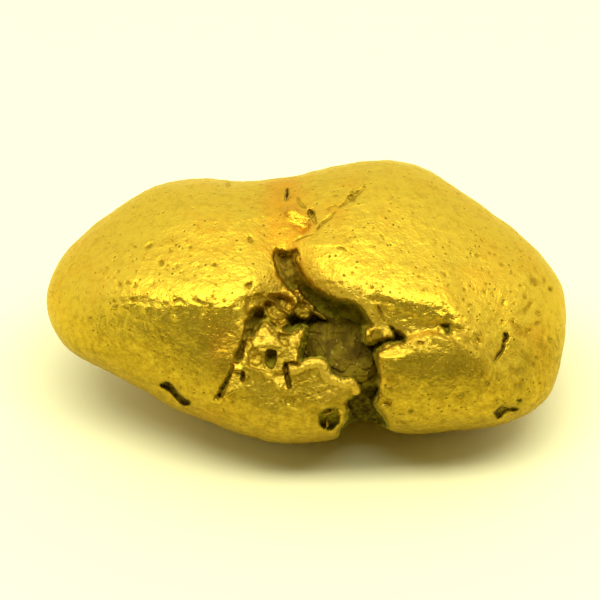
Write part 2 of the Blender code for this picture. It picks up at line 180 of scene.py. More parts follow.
# Needles: line, half width, depths of the two ends. Crumbs: u, v, size, height.
NEEDLES = [
    ([(-0.24, 0.28), (-0.12, 0.1), (0.01, -0.03), (0.16, -0.16)], 0.024, (0.3, 0.44)),
    ([(-0.4, -0.16), (-0.25, -0.06), (-0.08, 0.04)], 0.022, (0.38, 0.36)),
    ([(0.0, -0.12), (0.14, -0.22)], 0.02, (0.42, 0.5)),
    ([(0.16, -0.26), (0.32, -0.34), (0.5, -0.46)], 0.022, (0.55, 0.85)),
    ([(-0.62, -0.02), (-0.48, -0.1), (-0.38, -0.22)], 0.022, (0.36, 0.42)),
    ([(-0.95, 0.02), (-0.85, -0.02), (-0.72, -0.02)], 0.02, (0.34, 0.34)),
]
CREVICE_CRUMBS = [
    (-0.2, 0.05, 0.075, 0.16), (-0.06, 0.12, 0.055, 0.14), (-0.34, 0.13, 0.06, 0.1),
    (0.06, -0.03, 0.05, 0.14), (0.51, -0.17, 0.035, 0.1), (-0.03, -0.58, 0.03, 0.1),
    (1.5, -0.55, 0.05, 0.12), (1.46, -0.3, 0.04, 0.1),
]

# Torn block left of the crevice.
DIAGONAL_SLOT = [
    (-1.6, -0.62), (-1.7, -0.92), (-1.86, -1.3), (-1.97, -1.65), (-2.16, -2.03), (-2.38, -2.41),
    (-2.49, -2.65), (-2.43, -2.7), (-2.29, -2.6), (-2.08, -2.24), (-1.94, -1.92), (-1.8, -1.66),
    (-1.68, -1.6), (-1.62, -1.3), (-1.55, -0.98), (-1.42, -0.7),
]
BRIGHT_CREST = [
    (-1.12, -0.67), (-1.01, -0.75), (-0.89, -0.89), (-0.69, -1.09), (-0.74, -1.19), (-1.01, -1.22),
    (-1.32, -1.22), (-1.48, -1.15), (-1.43, -1.03), (-1.27, -0.84),
]
SHOULDER = [
    (-1.5, -0.97), (-1.43, -1.17), (-1.44, -1.35), (-1.58, -1.52), (-1.6, -1.9), (-1.7, -1.66),
    (-1.66, -1.32), (-1.6, -1.05),
]
UNDER_CREST = [
    (-1.45, -1.26), (-0.98, -1.26), (-0.74, -1.24), (-0.5, -1.24), (-0.44, -1.45), (-0.46, -1.72),
    (-0.53, -1.87), (-0.8, -1.89), (-1.08, -1.87), (-1.32, -1.8), (-1.53, -1.73), (-1.56, -1.45),
]
PINK_CHIP = [(-1.32, -1.27), (-1.08, -1.25), (-1.04, -1.36), (-1.29, -1.38)]
SQUARE_HOLE = [
    (-1.06, -1.33), (-0.94, -1.31), (-0.81, -1.34), (-0.8, -1.5), (-0.84, -1.72), (-0.96, -1.78),
    (-1.04, -1.72), (-1.08, -1.55),
]
LEDGE = [
    (-0.76, -0.86), (-0.53, -0.89), (-0.34, -0.87), (-0.3, -1.0), (-0.44, -1.2), (-0.6, -1.2),
    (-0.72, -1.08),
]
SPIKE = [
    (-0.46, -0.98), (-0.32, -0.9), (-0.18, -0.8), (-0.06, -0.71), (-0.12, -0.9), (-0.22, -1.12),
    (-0.3, -1.2), (-0.44, -1.16),
]
COLUMN = [(-0.46, -1.14), (-0.26, -1.14), (-0.23, -1.32), (-0.26, -1.54), (-0.4, -1.64), (-0.48, -1.5)]
LOW_BLOCK = [
    (-1.58, -1.84), (-1.22, -1.9), (-0.98, -2.08), (-0.84, -2.4), (-0.6, -2.74), (-0.8, -3.11),
    (-1.32, -2.97), (-1.6, -2.53),
]
FLAP = [
    (-0.42, -1.92), (-0.05, -1.78), (0.4, -1.74), (0.5, -2.08), (0.85, -2.24), (1.22, -2.36),
    (1.02, -2.62), (0.47, -2.84), (-0.05, -2.8), (-0.4, -2.5),
]
FLAP_RIM = [
    (-0.42, -1.82), (-0.26, -1.84), (-0.08, -1.74), (0.11, -1.67), (0.3, -1.66), (0.44, -1.69),
    (0.5, -1.86), (0.58, -2.04), (0.76, -2.12), (0.92, -2.2), (1.02, -2.24), (1.15, -2.18),
    (1.26, -2.28), (1.34, -2.38),
]
BRIGHT_CHIP = [
    (-0.94, -1.99), (-0.74, -1.96), (-0.56, -1.97), (-0.58, -2.18), (-0.65, -2.34), (-0.75, -2.32),
    (-0.84, -2.15),
]
SIDE_CHIP = [(-1.96, -1.64), (-1.69, -1.66), (-1.7, -1.87), (-1.95, -1.86)]
SIDE_SLOPE = [
    (-1.96, -1.86), (-1.72, -1.86), (-1.7, -2.06), (-1.62, -2.15), (-1.77, -2.38), (-2.05, -2.52),
    (-2.22, -2.62), (-2.08, -2.24),
]
LOW_HOLE = [
    (0.33, -3.04), (0.44, -2.92), (0.64, -2.85), (0.85, -2.87), (0.97, -3.01), (0.94, -3.21),
    (0.75, -3.42), (0.54, -3.46), (0.35, -3.32),
]
BLOCK_CRUMBS = [
    (-0.54, -2.36, 0.05, 0.09), (-0.77, -2.63, 0.04, 0.06), (-0.6, -2.7, 0.045, 0.06),
    (-1.0, -2.16, 0.04, 0.05), (-0.36, -2.32, 0.04, 0.05), (-0.1, -2.2, 0.04, 0.04),
    (0.22, -2.02, 0.04, 0.04), (0.62, -2.45, 0.04, 0.04), (-1.42, -2.2, 0.04, 0.04),
    (-0.2, -2.62, 0.04, 0.05), (-1.24, -1.98, 0.03, 0.04), (-0.9, -2.75, 0.03, 0.04),
]

# Right block: its apex, broken edge and crest, and its pits.
APEX = [
    (1.91, -1.44), (2.02, -1.35), (2.19, -1.25), (2.37, -1.18), (2.5, -1.25), (2.68, -1.28),
    (2.78, -1.37), (2.47, -1.46), (2.23, -1.55), (1.99, -1.55),
]
BLOCK_EDGE = [
    (1.96, -1.45), (2.0, -1.62), (2.05, -1.87), (2.12, -2.04), (2.05, -2.26), (2.08, -2.44),
    (2.0, -2.7), (2.12, -2.94), (2.28, -3.16),
]
CREST_ZONE = [
    (2.0, -1.5), (2.3, -1.0), (3.0, -0.7), (4.0, -0.45), (4.9, -0.7), (5.0, -1.2), (4.0, -1.25),
    (3.0, -1.35),
]
CREST_CRUMBS = [
    (3.2, -0.92, 0.09, 0.1), (3.42, -0.96, 0.07, 0.08), (3.58, -1.03, 0.08, 0.1),
    (3.3, -1.1, 0.05, 0.06), (3.75, -1.06, 0.05, 0.06), (4.1, -1.0, 0.07, 0.05),
    (4.72, -1.18, 0.06, 0.06), (2.86, -1.22, 0.06, 0.06), (2.62, -1.12, 0.06, 0.07),
]
SIDE_PIT = [
    (5.02, -3.02), (5.1, -2.9), (5.24, -2.8), (5.42, -2.82), (5.72, -2.88), (5.66, -2.97), (5.4, -2.98),
    (5.28, -3.08), (5.14, -3.18),
]

# Marks on the lobes. Pits: u, v, radius, depth. Slits: line, width, depth, soil.
COMMA = [
    (-3.95, -2.26), (-3.84, -2.16), (-3.68, -2.14), (-3.54, -2.26), (-3.4, -2.44), (-3.24, -2.58),
    (-3.08, -2.7), (-3.14, -2.82), (-3.32, -2.8), (-3.52, -2.62), (-3.64, -2.48), (-3.82, -2.36),
]
WAIST_CHIP = [
    (-0.6, 2.4), (-0.4, 2.52), (-0.16, 2.44), (0.02, 2.26), (0.12, 2.06), (0.06, 1.96), (-0.08, 1.86),
    (-0.25, 1.98), (-0.42, 2.1),
]
PITS = [
    (-1.49, 1.65, 0.055, 0.12), (6.57, 0.32, 0.05, 0.07), (6.22, -0.34, 0.055, 0.08),
    (4.8, -2.17, 0.055, 0.09), (4.12, -2.52, 0.07, 0.05), (6.56, -1.05, 0.05, 0.06),
    (4.24, 0.3, 0.04, 0.05), (4.78, 0.24, 0.04, 0.05), (1.22, 2.78, 0.08, 0.14),
    (1.42, 2.94, 0.045, 0.08), (1.24, 2.94, 0.035, 0.06), (0.15, 2.34, 0.075, 0.16),
    (2.8, -2.95, 0.05, 0.05), (6.1, -1.7, 0.04, 0.06), (6.18, -1.52, 0.035, 0.05),
    (-3.45, 0.95, 0.04, 0.05), (-2.45, 0.98, 0.045, 0.06), (-3.1, 1.45, 0.035, 0.05),
]
SLITS = [
    ([(-1.66, -3.55), (-1.36, -3.63), (-1.15, -3.69)], 0.035, 0.08, 0.7),
    ([(2.38, -3.2), (2.5, -3.25), (2.74, -3.25)], 0.04, 0.07, 0.6),
    ([(0.08, 2.44), (0.18, 2.26), (0.24, 2.1)], 0.06, 0.14, 0.8),
    ([(0.0, 2.5), (-0.16, 2.62), (-0.24, 2.8)], 0.045, 0.08, 0.55),
    ([(-0.5, 3.04), (-0.51, 2.86), (-0.53, 2.7)], 0.055, 0.13, 0.9),
    ([(0.3, 1.92), (0.42, 2.08), (0.6, 2.22), (0.78, 2.42)], 0.045, 0.07, 0.75),
    ([(0.88, 2.52), (1.05, 2.64), (1.22, 2.8), (1.42, 2.94), (1.58, 3.06)], 0.05, 0.07, 0.75),
    ([(0.56, 2.46), (0.72, 2.56), (0.86, 2.54)], 0.03, 0.05, 0.6),
    ([(-0.3, 1.62), (-0.08, 1.72), (0.16, 1.78)], 0.035, 0.05, 0.4),
    ([(0.8, 1.44), (0.95, 1.4), (1.09, 1.34)], 0.034, 0.07, 0.6),
    ([(1.91, -0.11), (1.98, -0.28), (2.1, -0.56)], 0.035, 0.14, 0.8),
    ([(5.31, -0.86), (5.36, -0.98), (5.28, -1.1)], 0.065, 0.2, 0.9),
    ([(5.28, -1.14), (5.26, -1.3), (5.1, -1.5), (5.04, -1.6)], 0.045, 0.18, 0.9),
    ([(-4.8, 0.02), (-4.48, 0.0), (-4.3, -0.05)], 0.028, 0.06, 0.6),
    ([(-3.6, -0.05), (-3.36, 0.03), (-3.22, -0.12)], 0.028, 0.07, 0.6),
    ([(-3.06, 0.06), (-2.8, -0.05), (-2.57, -0.09)], 0.03, 0.07, 0.6),
]

# Small flecks: u, v, size, height. Orange patches: u, v, half width, half height, share.
FLECKS = [
    (3.98, -0.2, 0.09, 0.06), (4.16, -0.36, 0.1, 0.07), (4.3, -0.52, 0.09, 0.07),
    (4.12, -0.62, 0.07, 0.06), (4.45, -0.7, 0.09, 0.06), (4.62, -0.46, 0.07, 0.05),
    (4.38, -0.18, 0.08, 0.04), (4.6, -0.88, 0.08, 0.06), (3.92, -0.86, 0.06, 0.05),
    (-4.54, -0.47, 0.06, 0.04), (-4.31, -0.24, 0.05, 0.04), (-3.5, -0.45, 0.06, 0.04),
    (-5.35, -0.15, 0.06, 0.03), (-6.05, 0.41, 0.05, 0.03), (-2.76, -2.83, 0.05, 0.04),
    (-2.63, -2.92, 0.04, 0.03), (-4.85, -0.08, 0.06, 0.03), (-3.95, -0.2, 0.06, 0.04),
    (5.36, 1.44, 0.06, 0.04), (1.2, 2.02, 0.08, 0.04), (1.36, 1.92, 0.06, 0.03),
]
TINTS = [
    (-0.6, 2.0, 0.6, 1.05, 1.2), (-0.6, 2.9, 0.5, 0.6, 0.9), (-0.62, 0.8, 0.3, 0.5, 0.8),
    (-0.5, 0.22, 0.3, 0.15, 0.8), (-2.25, -1.35, 0.45, 0.55, 0.8), (3.9, -0.6, 0.5, 0.25, 0.25),
    (5.1, 0.6, 0.9, 0.9, 0.35), (-4.1, 0.25, 0.6, 0.2, 0.5), (1.3, -2.6, 0.8, 0.4, 0.2),
    (0.85, 2.35, 0.45, 0.45, 0.6), (6.3, -1.3, 0.25, 0.6, 0.6), (2.25, -2.1, 0.35, 0.2, 0.6),
    (-2.2, -3.0, 0.6, 0.3, 0.5),
]

# Scattered marks: scuffs along each brow, pits over the top and pits on the right end.
SCUFFED = ((LEFT_BROW, -5.2, -1.3), (RIGHT_BROW, 0.4, 4.2))
BROW_SCUFFS, TOP_PITS, END_PITS = 26, 220, 14

# Painted shade that darkens the front towards the bottom, and the area that tearing broke into chips.
LOWER_FRONT_SHADE = 0.27
TORN_ZONE = [
    (-1.8, 0.3), (-0.4, 0.3), (0.6, -0.3), (1.6, -0.6), (2.6, -0.8), (2.4, -1.6), (2.4, -3.2),
    (0.6, -3.2), (-0.4, -2.9), (-2.2, -2.8), (-2.0, -1.6), (-1.7, -0.8),
]

# Torn parts of the front: u, v, half width, half height, power of the bell, share.
TORN_PARTS = [(0.2, -1.3, 1.85, 1.9, 6, 1.0), (3.0, -1.0, 1.5, 0.42, 4, 0.8)]

# Cracks and packed hollows on the back and underside: places as angles round w and away from w,
# width and depth. The body is taken there as a ball.
CRACKS = [
    ([(58, 108), (72, 118), (92, 121), (108, 131)], 0.075, 0.2),
    ([(128, 104), (137, 117), (134, 131)], 0.06, 0.16),
    ([(300, 118), (318, 126), (334, 121)], 0.06, 0.16),
    ([(168, 120), (184, 129), (201, 124)], 0.065, 0.16),
    ([(18, 104), (27, 115), (23, 128), (32, 139)], 0.065, 0.18),
    ([(92, 150), (112, 159), (134, 155)], 0.06, 0.14),
    ([(240, 118), (250, 132), (262, 138)], 0.06, 0.15),
]
HOLLOWS = [
    (80, 138, 0.26, 0.16), (150, 141, 0.2, 0.14), (44, 128, 0.18, 0.14), (340, 138, 0.22, 0.14),
    (112, 114, 0.16, 0.12), (8, 117, 0.15, 0.12), (208, 137, 0.2, 0.14), (270, 120, 0.18, 0.12),
    (98, 104, 0.13, 0.12), (160, 108, 0.13, 0.1), (62, 150, 0.16, 0.12), (320, 108, 0.14, 0.1),
]
BALL_RADIUS, BALL_HALF_SIZES = 4.3, (HALF_LENGTH, 3.75, 3.6)
BACK_PITS = 150

# Grid of the body: columns, rows in front, rows behind, and the angle from each pole to its row.
BODY_GRID, BODY_POLE = (1100, 300, 150), 0.003

# Layers of smooth noise that swell the skin: height, size, seed.
SWELLS = [(0.03, 1.9, 21), (0.012, 0.9, 22)]
BACK_SWELLS = [(0.05, 1.5, 95), (0.03, 0.7, 96)]
# Hammer marks: size and depth as shares of the grain's, seed. Torn facets: height, size, seed.
GRAINS = [(2.0, 1.3, 30), (1.0, 1.0, 27), (0.5, 0.7, 28)]
TORN_FACETS = [(0.01, 0.3, 36), (0.007, 0.15, 37)]
TORN_GRAIN = (0.006, 0.12, 32)
TORN_LIMIT = 0.09

# Stone in the crevice: its middle and half sizes, how square it is, how much it drops along v, its
# grid, and the swells and facets of its skin.
QUARTZ_CENTRE = (0.98, -1.27, 2.0)
QUARTZ_HALF_SIZE = (1.0, 0.94, 0.6)
QUARTZ_SQUARE, QUARTZ_SLOPE = 3.2, -0.45
QUARTZ_COLUMNS, QUARTZ_ROWS, QUARTZ_POLE = 300, 190, 0.01
QUARTZ_SWELLS = [(0.07, 0.7, 42), (0.04, 0.3, 43)]
QUARTZ_FACETS = [(0.045, 0.4, 44), (0.018, 0.17, 45)]

# Patterns on the gold, by the size of their features in millimetres.
PATCHES, MOTTLE, BLOTCHES, FINE_GRAIN, SPECKS, SPECK_FIELDS = 1.7, 0.45, 0.2, 0.09, 0.17, 0.5

# Stage: the lamp's height above the table, distance, length and width, the middle of the dim part
# of the room, and the cosines of the angle off it where the dimness is gone and where it is full.
LAMP_HEIGHT, LAMP_DISTANCE, LAMP_SIZE = math.radians(76.0), 0.2, (0.24, 0.055)
LAMP_COLOUR = (1.0, 1.0, 0.95)
DIM_HEIGHT, DIM_EDGES = math.radians(16.0), (0.2, 0.72)
TABLE_ROUGHNESS = 0.9

# Camera: sensor, nearest distance shown, millimetres across the picture at the nugget, and
# millimetres to the right and up from the nugget's middle to the picture's.
SENSOR, NEAREST = 36.0, 0.01
FRAME_WIDTH, FRAME_SHIFT = 16.22, (-0.162, 0.027)


def ease(x, low, high):
    """Smooth step: 0 up to low, 1 from high, 3t^2 - 2t^3 between them."""
    t = np.clip((x - low) / (high - low), 0.0, 1.0)
    return t * t * (3.0 - 2.0 * t)


def soft_positive(x, softness):
    """x where x is well above zero and 0 where it is well below, rounded at zero by softness."""
    return softness * np.logaddexp(0.0, x / softness)


def spline(points, closed, steps=12):
    """Catmull-Rom curve through the points, with so many steps between each two."""
    ring = np.asarray(points, float)
    if closed:
        before, here = np.roll(ring, 1, 0), ring
        after, beyond = np.roll(ring, -1, 0), np.roll(ring, -2, 0)
    else:
        run = np.vstack([2 * ring[0] - ring[1], ring, 2 * ring[-1] - ring[-2]])
        before, here, after, beyond = run[:-3], run[1:-2], run[2:-1], run[3:]
    t = np.linspace(0.0, 1.0, steps, endpoint=False)[:, None, None]
    curve = 0.5 * (
        2 * here + (after - before) * t
        + (2 * before - 5 * here + 4 * after - beyond) * t**2
        + (3 * here - before - 3 * after + beyond) * t**3
    )
    curve = curve.transpose(1, 0, 2).reshape(-1, ring.shape[1])
    return curve if closed else np.vstack([curve, ring[-1:]])


def outline_radius(angle):
    """How far the outline is from the middle of the broad face, at each angle round it."""
    curve = spline(OUTLINE, closed=True)
    angles = np.arctan2(curve[:, 1], curve[:, 0])
    order = np.argsort(angles)
    reach = np.hypot(curve[:, 0], curve[:, 1])
    return np.interp(angle, angles[order], reach[order], period=2 * math.pi)


def height_of(line, u):
    """The v of a line that runs left to right, at each u."""
    curve = spline(line, closed=False)
    return np.interp(u, curve[:, 0], curve[:, 1])


def brow(x, rise, drop, softness):
    """Section across a brow, x above its line: a bell of the rise above it, and below it a fall to
    the drop that the tanh of the distance gives; both fade out within BROW_FADE below."""
    below = soft_positive(-x, softness)
    fade = np.exp(-((below / BROW_FADE) ** 2))
    swelling = rise * np.exp(-((np.clip(x, 0.0, None) / BROW_SPREAD) ** 2))
    return (swelling - drop * np.tanh(below / BROW_FACE)) * fade


def line_distance(u, v, line):
    """Distance from each (u, v) to a line of points, and how far along it the nearest point is,
    from 0 to 1."""
    run = np.asarray(line, float)
    length = np.r_[0.0, np.cumsum(np.hypot(*np.diff(run, axis=0).T))]
    best = np.full(u.shape, np.inf)
    along = np.zeros(u.shape)
    for k, (start, end) in enumerate(zip(run[:-1], run[1:])):
        step = end - start
        size = max(step @ step, 1e-12)
        t = np.clip(((u - start[0]) * step[0] + (v - start[1]) * step[1]) / size, 0.0, 1.0)
        gap = np.hypot(u - start[0] - t * step[0], v - start[1] - t * step[1])
        nearer = gap < best
        best = np.where(nearer, gap, best)
        along = np.where(nearer, (length[k] + t * (length[k + 1] - length[k])) / length[-1], along)
    return best, along


def inside_distance(u, v, outline):
    """Distance from each (u, v) to a closed outline, positive inside it and negative outside."""
    ring = np.asarray(outline, float)
    gap, _ = line_distance(u, v, np.vstack([ring, ring[:1]]))
    inside = np.zeros(u.shape, bool)
    for (u0, v0), (u1, v1) in zip(ring, np.roll(ring, -1, 0)):
        if v0 != v1:
            crosses = (v0 > v) != (v1 > v)
            inside ^= crosses & (u < (u1 - u0) * (v - v0) / (v1 - v0) + u0)
    return np.where(inside, gap, -gap)


def waist(u, v):
    """Depth of the valley between the lobes: a bell across the waist line, deeper to the front."""
    line = spline(WAIST, closed=False, steps=6)
    gap, along = line_distance(u, v, line)
    depth = WAIST_DEPTH_TOP + (WAIST_DEPTH_FRONT - WAIST_DEPTH_TOP) * along
    return depth * np.exp(-((gap / WAIST_WIDTH) ** 2))


def front_relief(u, v):
    """Height that the front gains: the section of each brow across its line, a step under the
    block's top that a tanh raises and an exponential lets down again, less the waist."""
    left = ease(u, *LEFT_BROW_ENDS[0]) * (1 - ease(u, *LEFT_BROW_ENDS[1]))
    right = ease(u, *RIGHT_BROW_ENDS[0]) * (1 - ease(u, *RIGHT_BROW_ENDS[1]))
    bent = v + BROW_WANDER * flat_scatter(u, v, WANDER_SIZE, 51)
    relief = left * brow(bent - height_of(LEFT_BROW, u), **LEFT_BROW_SHAPE)
    relief += right * brow(bent - height_of(RIGHT_BROW, u), **RIGHT_BROW_SHAPE)
    under = height_of(BLOCK_TOP, u) - v
    block = np.tanh(soft_positive(under, BLOCK_SOFTNESS) / BLOCK_FACE)
    block = block * np.exp(-np.clip(under, 0.0, None) / BLOCK_FADE)
    relief += BLOCK_RISE * block * ease(u, *BLOCK_ENDS[0]) * (1 - ease(u, *BLOCK_ENDS[1]))
    return relief - waist(u, v)


def swell_height(share, powers):
    """Height of a dome as a share of its swell: with p and q its powers, the q-th root of 1 less
    the p-th power of the share of the way out."""
    p, q = powers
    return (1 - share**p) ** (1 / q)


def front_height(u, v):
    """w of the whole front before it was torn: a dome over the outline, sheared along v, with the
    relief of its brows, block and waist fading out at the rim."""
    u, v = np.asarray(u, float), np.asarray(v, float)
    share = np.clip(np.hypot(u, v) / outline_radius(np.arctan2(v, u)), 0.0, 1.0)
    swell = FRONT_SWELL + FRONT_SWELL_RIGHT * u / HALF_LENGTH
    dome = swell * swell_height(share, FRONT_POWERS)
    return SHEAR * v + dome + front_relief(u, v) * (1 - ease(share, *RIM_FADE))


def back_height(u, v, share):
    """w of the back: a dome over the same outline, sheared the same way."""
    swell = BACK_SWELL + BACK_SWELL_RIGHT * u / HALF_LENGTH
    return SHEAR * v - swell * swell_height(share, BACK_POWERS)


def lattice(points, size, table):
    """Each point's place in its cell of a cubic lattice of a size, and a function that picks the
    table's entry for the cell at an offset from that one."""
    place = points / size
    cell = np.floor(place).astype(int)

    def pick(offset):
        key = (cell + offset) & 255
        return table[table[table[key[:, 0]] + key[:, 1]] + key[:, 2]]

    return place - cell, pick


def scatter(points, size, seed):
    """Smooth noise, about -1 to 1: gradients hashed from the cells of a cubic lattice of the
    given size, blended across each cell by 6t^5 - 15t^4 + 10t^3."""
    turns = np.random.default_rng(seed + 1).normal(size=(256, 3))
    turns /= np.linalg.norm(turns, axis=1)[:, None]
    t, pick = lattice(points, size, np.tile(np.random.default_rng(seed).permutation(256), 3))
    fade = t * t * t * (t * (t * 6.0 - 15.0) + 10.0)
    total = np.zeros(len(points))
    for corner in itertools.product((0, 1), repeat=3):
        pull = ((t - corner) * turns[pick(corner)]).sum(1)
        weight = np.where(np.array(corner) == 1, fade, 1.0 - fade).prod(1)
        total += weight * pull
    return total * 1.6


def nearest_cell(points, size, seed):
    """The nearest of the spots strewn one to a lattice cell: its distance in cell sizes, and the
    level at each point of a flat facet through that spot, with a height and tilt of its own."""
    rng = np.random.default_rng(seed)
    table = np.tile(rng.permutation(256), 3)
    offsets, tilts, levels = rng.random((256, 3)), rng.normal(size=(256, 3)), rng.normal(size=256)
    t, pick = lattice(points, size, table)
    best, facet = np.full(len(points), np.inf), np.zeros(len(points))
    for corner in itertools.product((-1, 0, 1), repeat=3):
        picked = pick(corner)
        away = t - corner - offsets[picked]
        gap = (away**2).sum(1)
        nearer = gap < best
        best = np.where(nearer, gap, best)
        facet = np.where(nearer, 0.5 * levels[picked] + (away * tilts[picked]).sum(1), facet)
    return np.sqrt(best), facet


def layers(points, rows):
    """Sum of layers of smooth noise, each with its height, size and seed."""
    return sum(height * scatter(points, size, seed) for height, size, seed in rows)


def facets(points, rows, limit=np.inf):
    """Layers of flat facets, each with its height, size and seed, whose levels stay in a limit."""
    return [height * np.clip(nearest_cell(points, size, seed)[1], -limit, limit)
            for height, size, seed in rows]


def warp(points, amount, size, seed):
    """The points moved by an amount of smooth noise, with a seed of its own along each axis."""
    shifts = [scatter(points, size, seed + axis) for axis in range(3)]
    return points + amount * np.stack(shifts, 1)


def flat_scatter(u, v, size, seed):
    """Smooth noise over the broad face."""
    shape = np.shape(u)
    points = np.stack([np.ravel(u), np.ravel(v), np.full(np.size(u), 0.37 * size)], axis=1)
    return scatter(points, size, seed).reshape(shape)


class TornFace:
    """Heights of the front over (u, v), and the tools that tear, cut and heap it.

    base is the whole face as it was, w the face as worked so far, and soil and warm say how
    stained and how orange each place is, from 0 to 1. The soil level also holds painted shade,
    darker down the lower front and under the right brow's lip, and painted highlight, lighter
    clean gold, where it is set below 0.
    """

    def __init__(self, u, v):
        self.u, self.v = u, v
        self.base = front_height(u, v)
        self.w = self.base.copy()
        self.soil, self.warm = np.zeros(u.shape), np.zeros(u.shape)

    def near(self, points, reach):
        """Indices of the places within reach of the points' box."""
        low, high = np.min(points, axis=0) - reach, np.max(points, axis=0) + reach
        near = (self.u > low[0]) & (self.u < high[0]) & (self.v > low[1]) & (self.v < high[1])
        return np.flatnonzero(near)

    def edge(self, outline, reach, ragged, rag_size, round_off):
        """Places near an outline and their distance inside it, made uneven by ragged."""
        ring = spline(outline, closed=True, steps=4) if round_off else np.asarray(outline)
        at = self.near(ring, reach + 2 * ragged)
        u, v = self.u[at], self.v[at]
        inside = inside_distance(u, v, ring)
        inside += ragged * flat_scatter(u, v, rag_size, 11)
        inside += 0.7 * ragged * flat_scatter(u, v, rag_size / 2.3, 12)
        return at, inside

    def stain(self, at, share, soil, warm=None):
        """Draws the soil of some places, and their warmth if it is given, to new levels by a
        share."""
        self.soil[at] += (soil - self.soil[at]) * share
        if warm is not None:
            self.warm[at] += (warm - self.warm[at]) * share

    def cut(self, outline, depth, wall, rim, soil, ragged=0.03, warm=None):
        """Cuts down to a depth under the whole face. The wall leans over its width, and the rim
        outside the outline is rounded off by a quarter circle."""
        at, inside = self.edge(outline, rim, ragged, 0.16, True)
        deep = depth[at] if np.ndim(depth) else depth
        soil = soil[at] if np.ndim(soil) else soil
        sink = ease(inside, 0.0, wall)
        target = np.minimum(self.w[at], self.base[at] - deep)
        sunk = self.w[at] + (target - self.w[at]) * sink
        out = np.clip(1.0 + inside / rim, 0.0, 1.0)
        sunk -= np.where(inside < 0, rim * (1 - np.sqrt(1 - out**2)), rim * (1 - sink))
        self.w[at] = sunk
        self.stain(at, ease(inside, -0.02, 0.5 * wall), soil, warm)

    def facet(self, outline, depth, tilt, wall, mode="set", ragged=0.02, rag_size=0.15, curl=0.0,
              soil=0.0, round_off=False):
        """A flat facet with its middle at a depth under the whole face and its own tilt along u
        and v. mode "cut" only lowers and "raise" only lifts; curl bows it out."""
        middle = np.mean(outline, axis=0)
        at, inside = self.edge(outline, wall, ragged, rag_size, round_off)
        du, dv = self.u[at] - middle[0], self.v[at] - middle[1]
        plane = front_height(middle[0], middle[1]) - depth + tilt[0] * du + tilt[1] * dv
        plane = plane - curl * (du**2 + dv**2)
        change = plane - self.w[at]
        if mode == "cut":
            change = np.minimum(change, 0.0)
        if mode == "raise":
            change = np.maximum(change, 0.0)
        share = ease(inside, -wall / 2, wall / 2)
        self.w[at] += change * share
        self.stain(at, share * (change != 0.0), soil)

    def slit(self, line, width, depth, soil):
        """A groove along a line that wanders a little, with a rounded section that thins out at
        both ends."""
        run = spline(line, closed=False, steps=4)
        at = self.near(run, 3 * width)
        u, v = self.u[at], self.v[at]
        gap, along = line_distance(u, v, run)
        gap = np.abs(gap + 0.012 * flat_scatter(u, v, 0.13, 13))
        size = width * (0.45 + 0.55 * np.sqrt(np.clip(4 * along * (1 - along), 0.0, 1.0)))
        share = np.exp(-((gap / size) ** 4))
        self.w[at] -= depth * share
        self.stain(at, share, soil, warm=0.9)

    def crest(self, line, width, depths, steep=1.6, soil=0.0):
        """A ridge along a line, rounded on top, whose ends stand at two depths under the face."""
        run = spline(line, closed=False, steps=4)
        at = self.near(run, 4 * width)
        u, v = self.u[at], self.v[at]
        gap, along = line_distance(u, v, run)
        gap = np.clip(gap + 0.15 * width * flat_scatter(u, v, 2.5 * width, 14), 0.0, None)
        top = self.base[at] - depths[0] + (depths[0] - depths[1]) * along
        ridge = top - steep * (np.sqrt(gap**2 + width**2) - width)
        higher = (gap < 3 * width) & (ridge > self.w[at])
        self.w[at] = np.where(higher, ridge, self.w[at])
        self.stain(at, 1.0 * higher, soil)

    def lump(self, u, v, size, height, turn=0.0, stretch=1.0, soil=None, warm=None):
        """A rounded lump of a size, higher than the face round it; a pit if height is negative."""
        at = self.near([(u, v)], 2.5 * size * stretch)
        c, s = math.cos(turn), math.sin(turn)
        du, dv = self.u[at] - u, self.v[at] - v
        gap = np.hypot((c * du + s * dv) / stretch, c * dv - s * du) / size
        share = np.exp(-(gap**2)) * (1 - ease(gap, 1.6, 2.2))
        self.w[at] += height * share
        if soil is not None:
            self.stain(at, share, soil, warm)

    def crumbs(self, rows, **looks):
        """Small lumps, each with its u, v, size and height."""
        for u, v, size, height in rows:
            self.lump(u, v, size, height, **looks)

    def chips(self, outline, size, rise, tilt, seed, soils):
        """Breaks an area into flat chips, one to each cell of a strewn lattice, each with its own
        height and tilt, which fade in from the area's edge."""
        soft = 0.25
        at, inside = self.edge(outline, soft, 0.02, 0.2, False)
        u, v = self.u[at], self.v[at]
        rng = np.random.default_rng(seed)
        low = np.min(outline, axis=0) - soft - size
        spots = [low + size * (np.array(c) + rng.random(2)) for c in itertools.product(
            range(int((np.max(outline, 0)[0] - low[0]) / size) + 3),
            range(int((np.max(outline, 0)[1] - low[1]) / size) + 3))]
        best, height, soil = np.full(u.shape, np.inf), np.zeros(u.shape), np.zeros(u.shape)
        bend = 0.12 * size * flat_scatter(u, v, 0.4 * size, seed)
        for spot in spots:
            lean, up, stained = rng.normal(size=2) * tilt, rng.normal() * rise, rng.uniform(*soils)
            gap = np.hypot(u - spot[0], v - spot[1]) + bend
            nearer = gap < best
            best = np.where(nearer, gap, best)
            height = np.where(nearer, up + lean[0] * (u - spot[0]) + lean[1] * (v - spot[1]), height)
            soil = np.where(nearer, stained, soil)
        self.w[at] += height * ease(inside, 0.0, soft)
        self.soil[at] += soil * ease(inside, 0.0, soft)

    def tint(self, u, v, width, height, share):
        """Turns a soft oval more orange."""
        gap = ((self.u - u) / width) ** 2 + ((self.v - v) / height) ** 2
        self.warm = np.maximum(self.warm, share * np.exp(-gap))


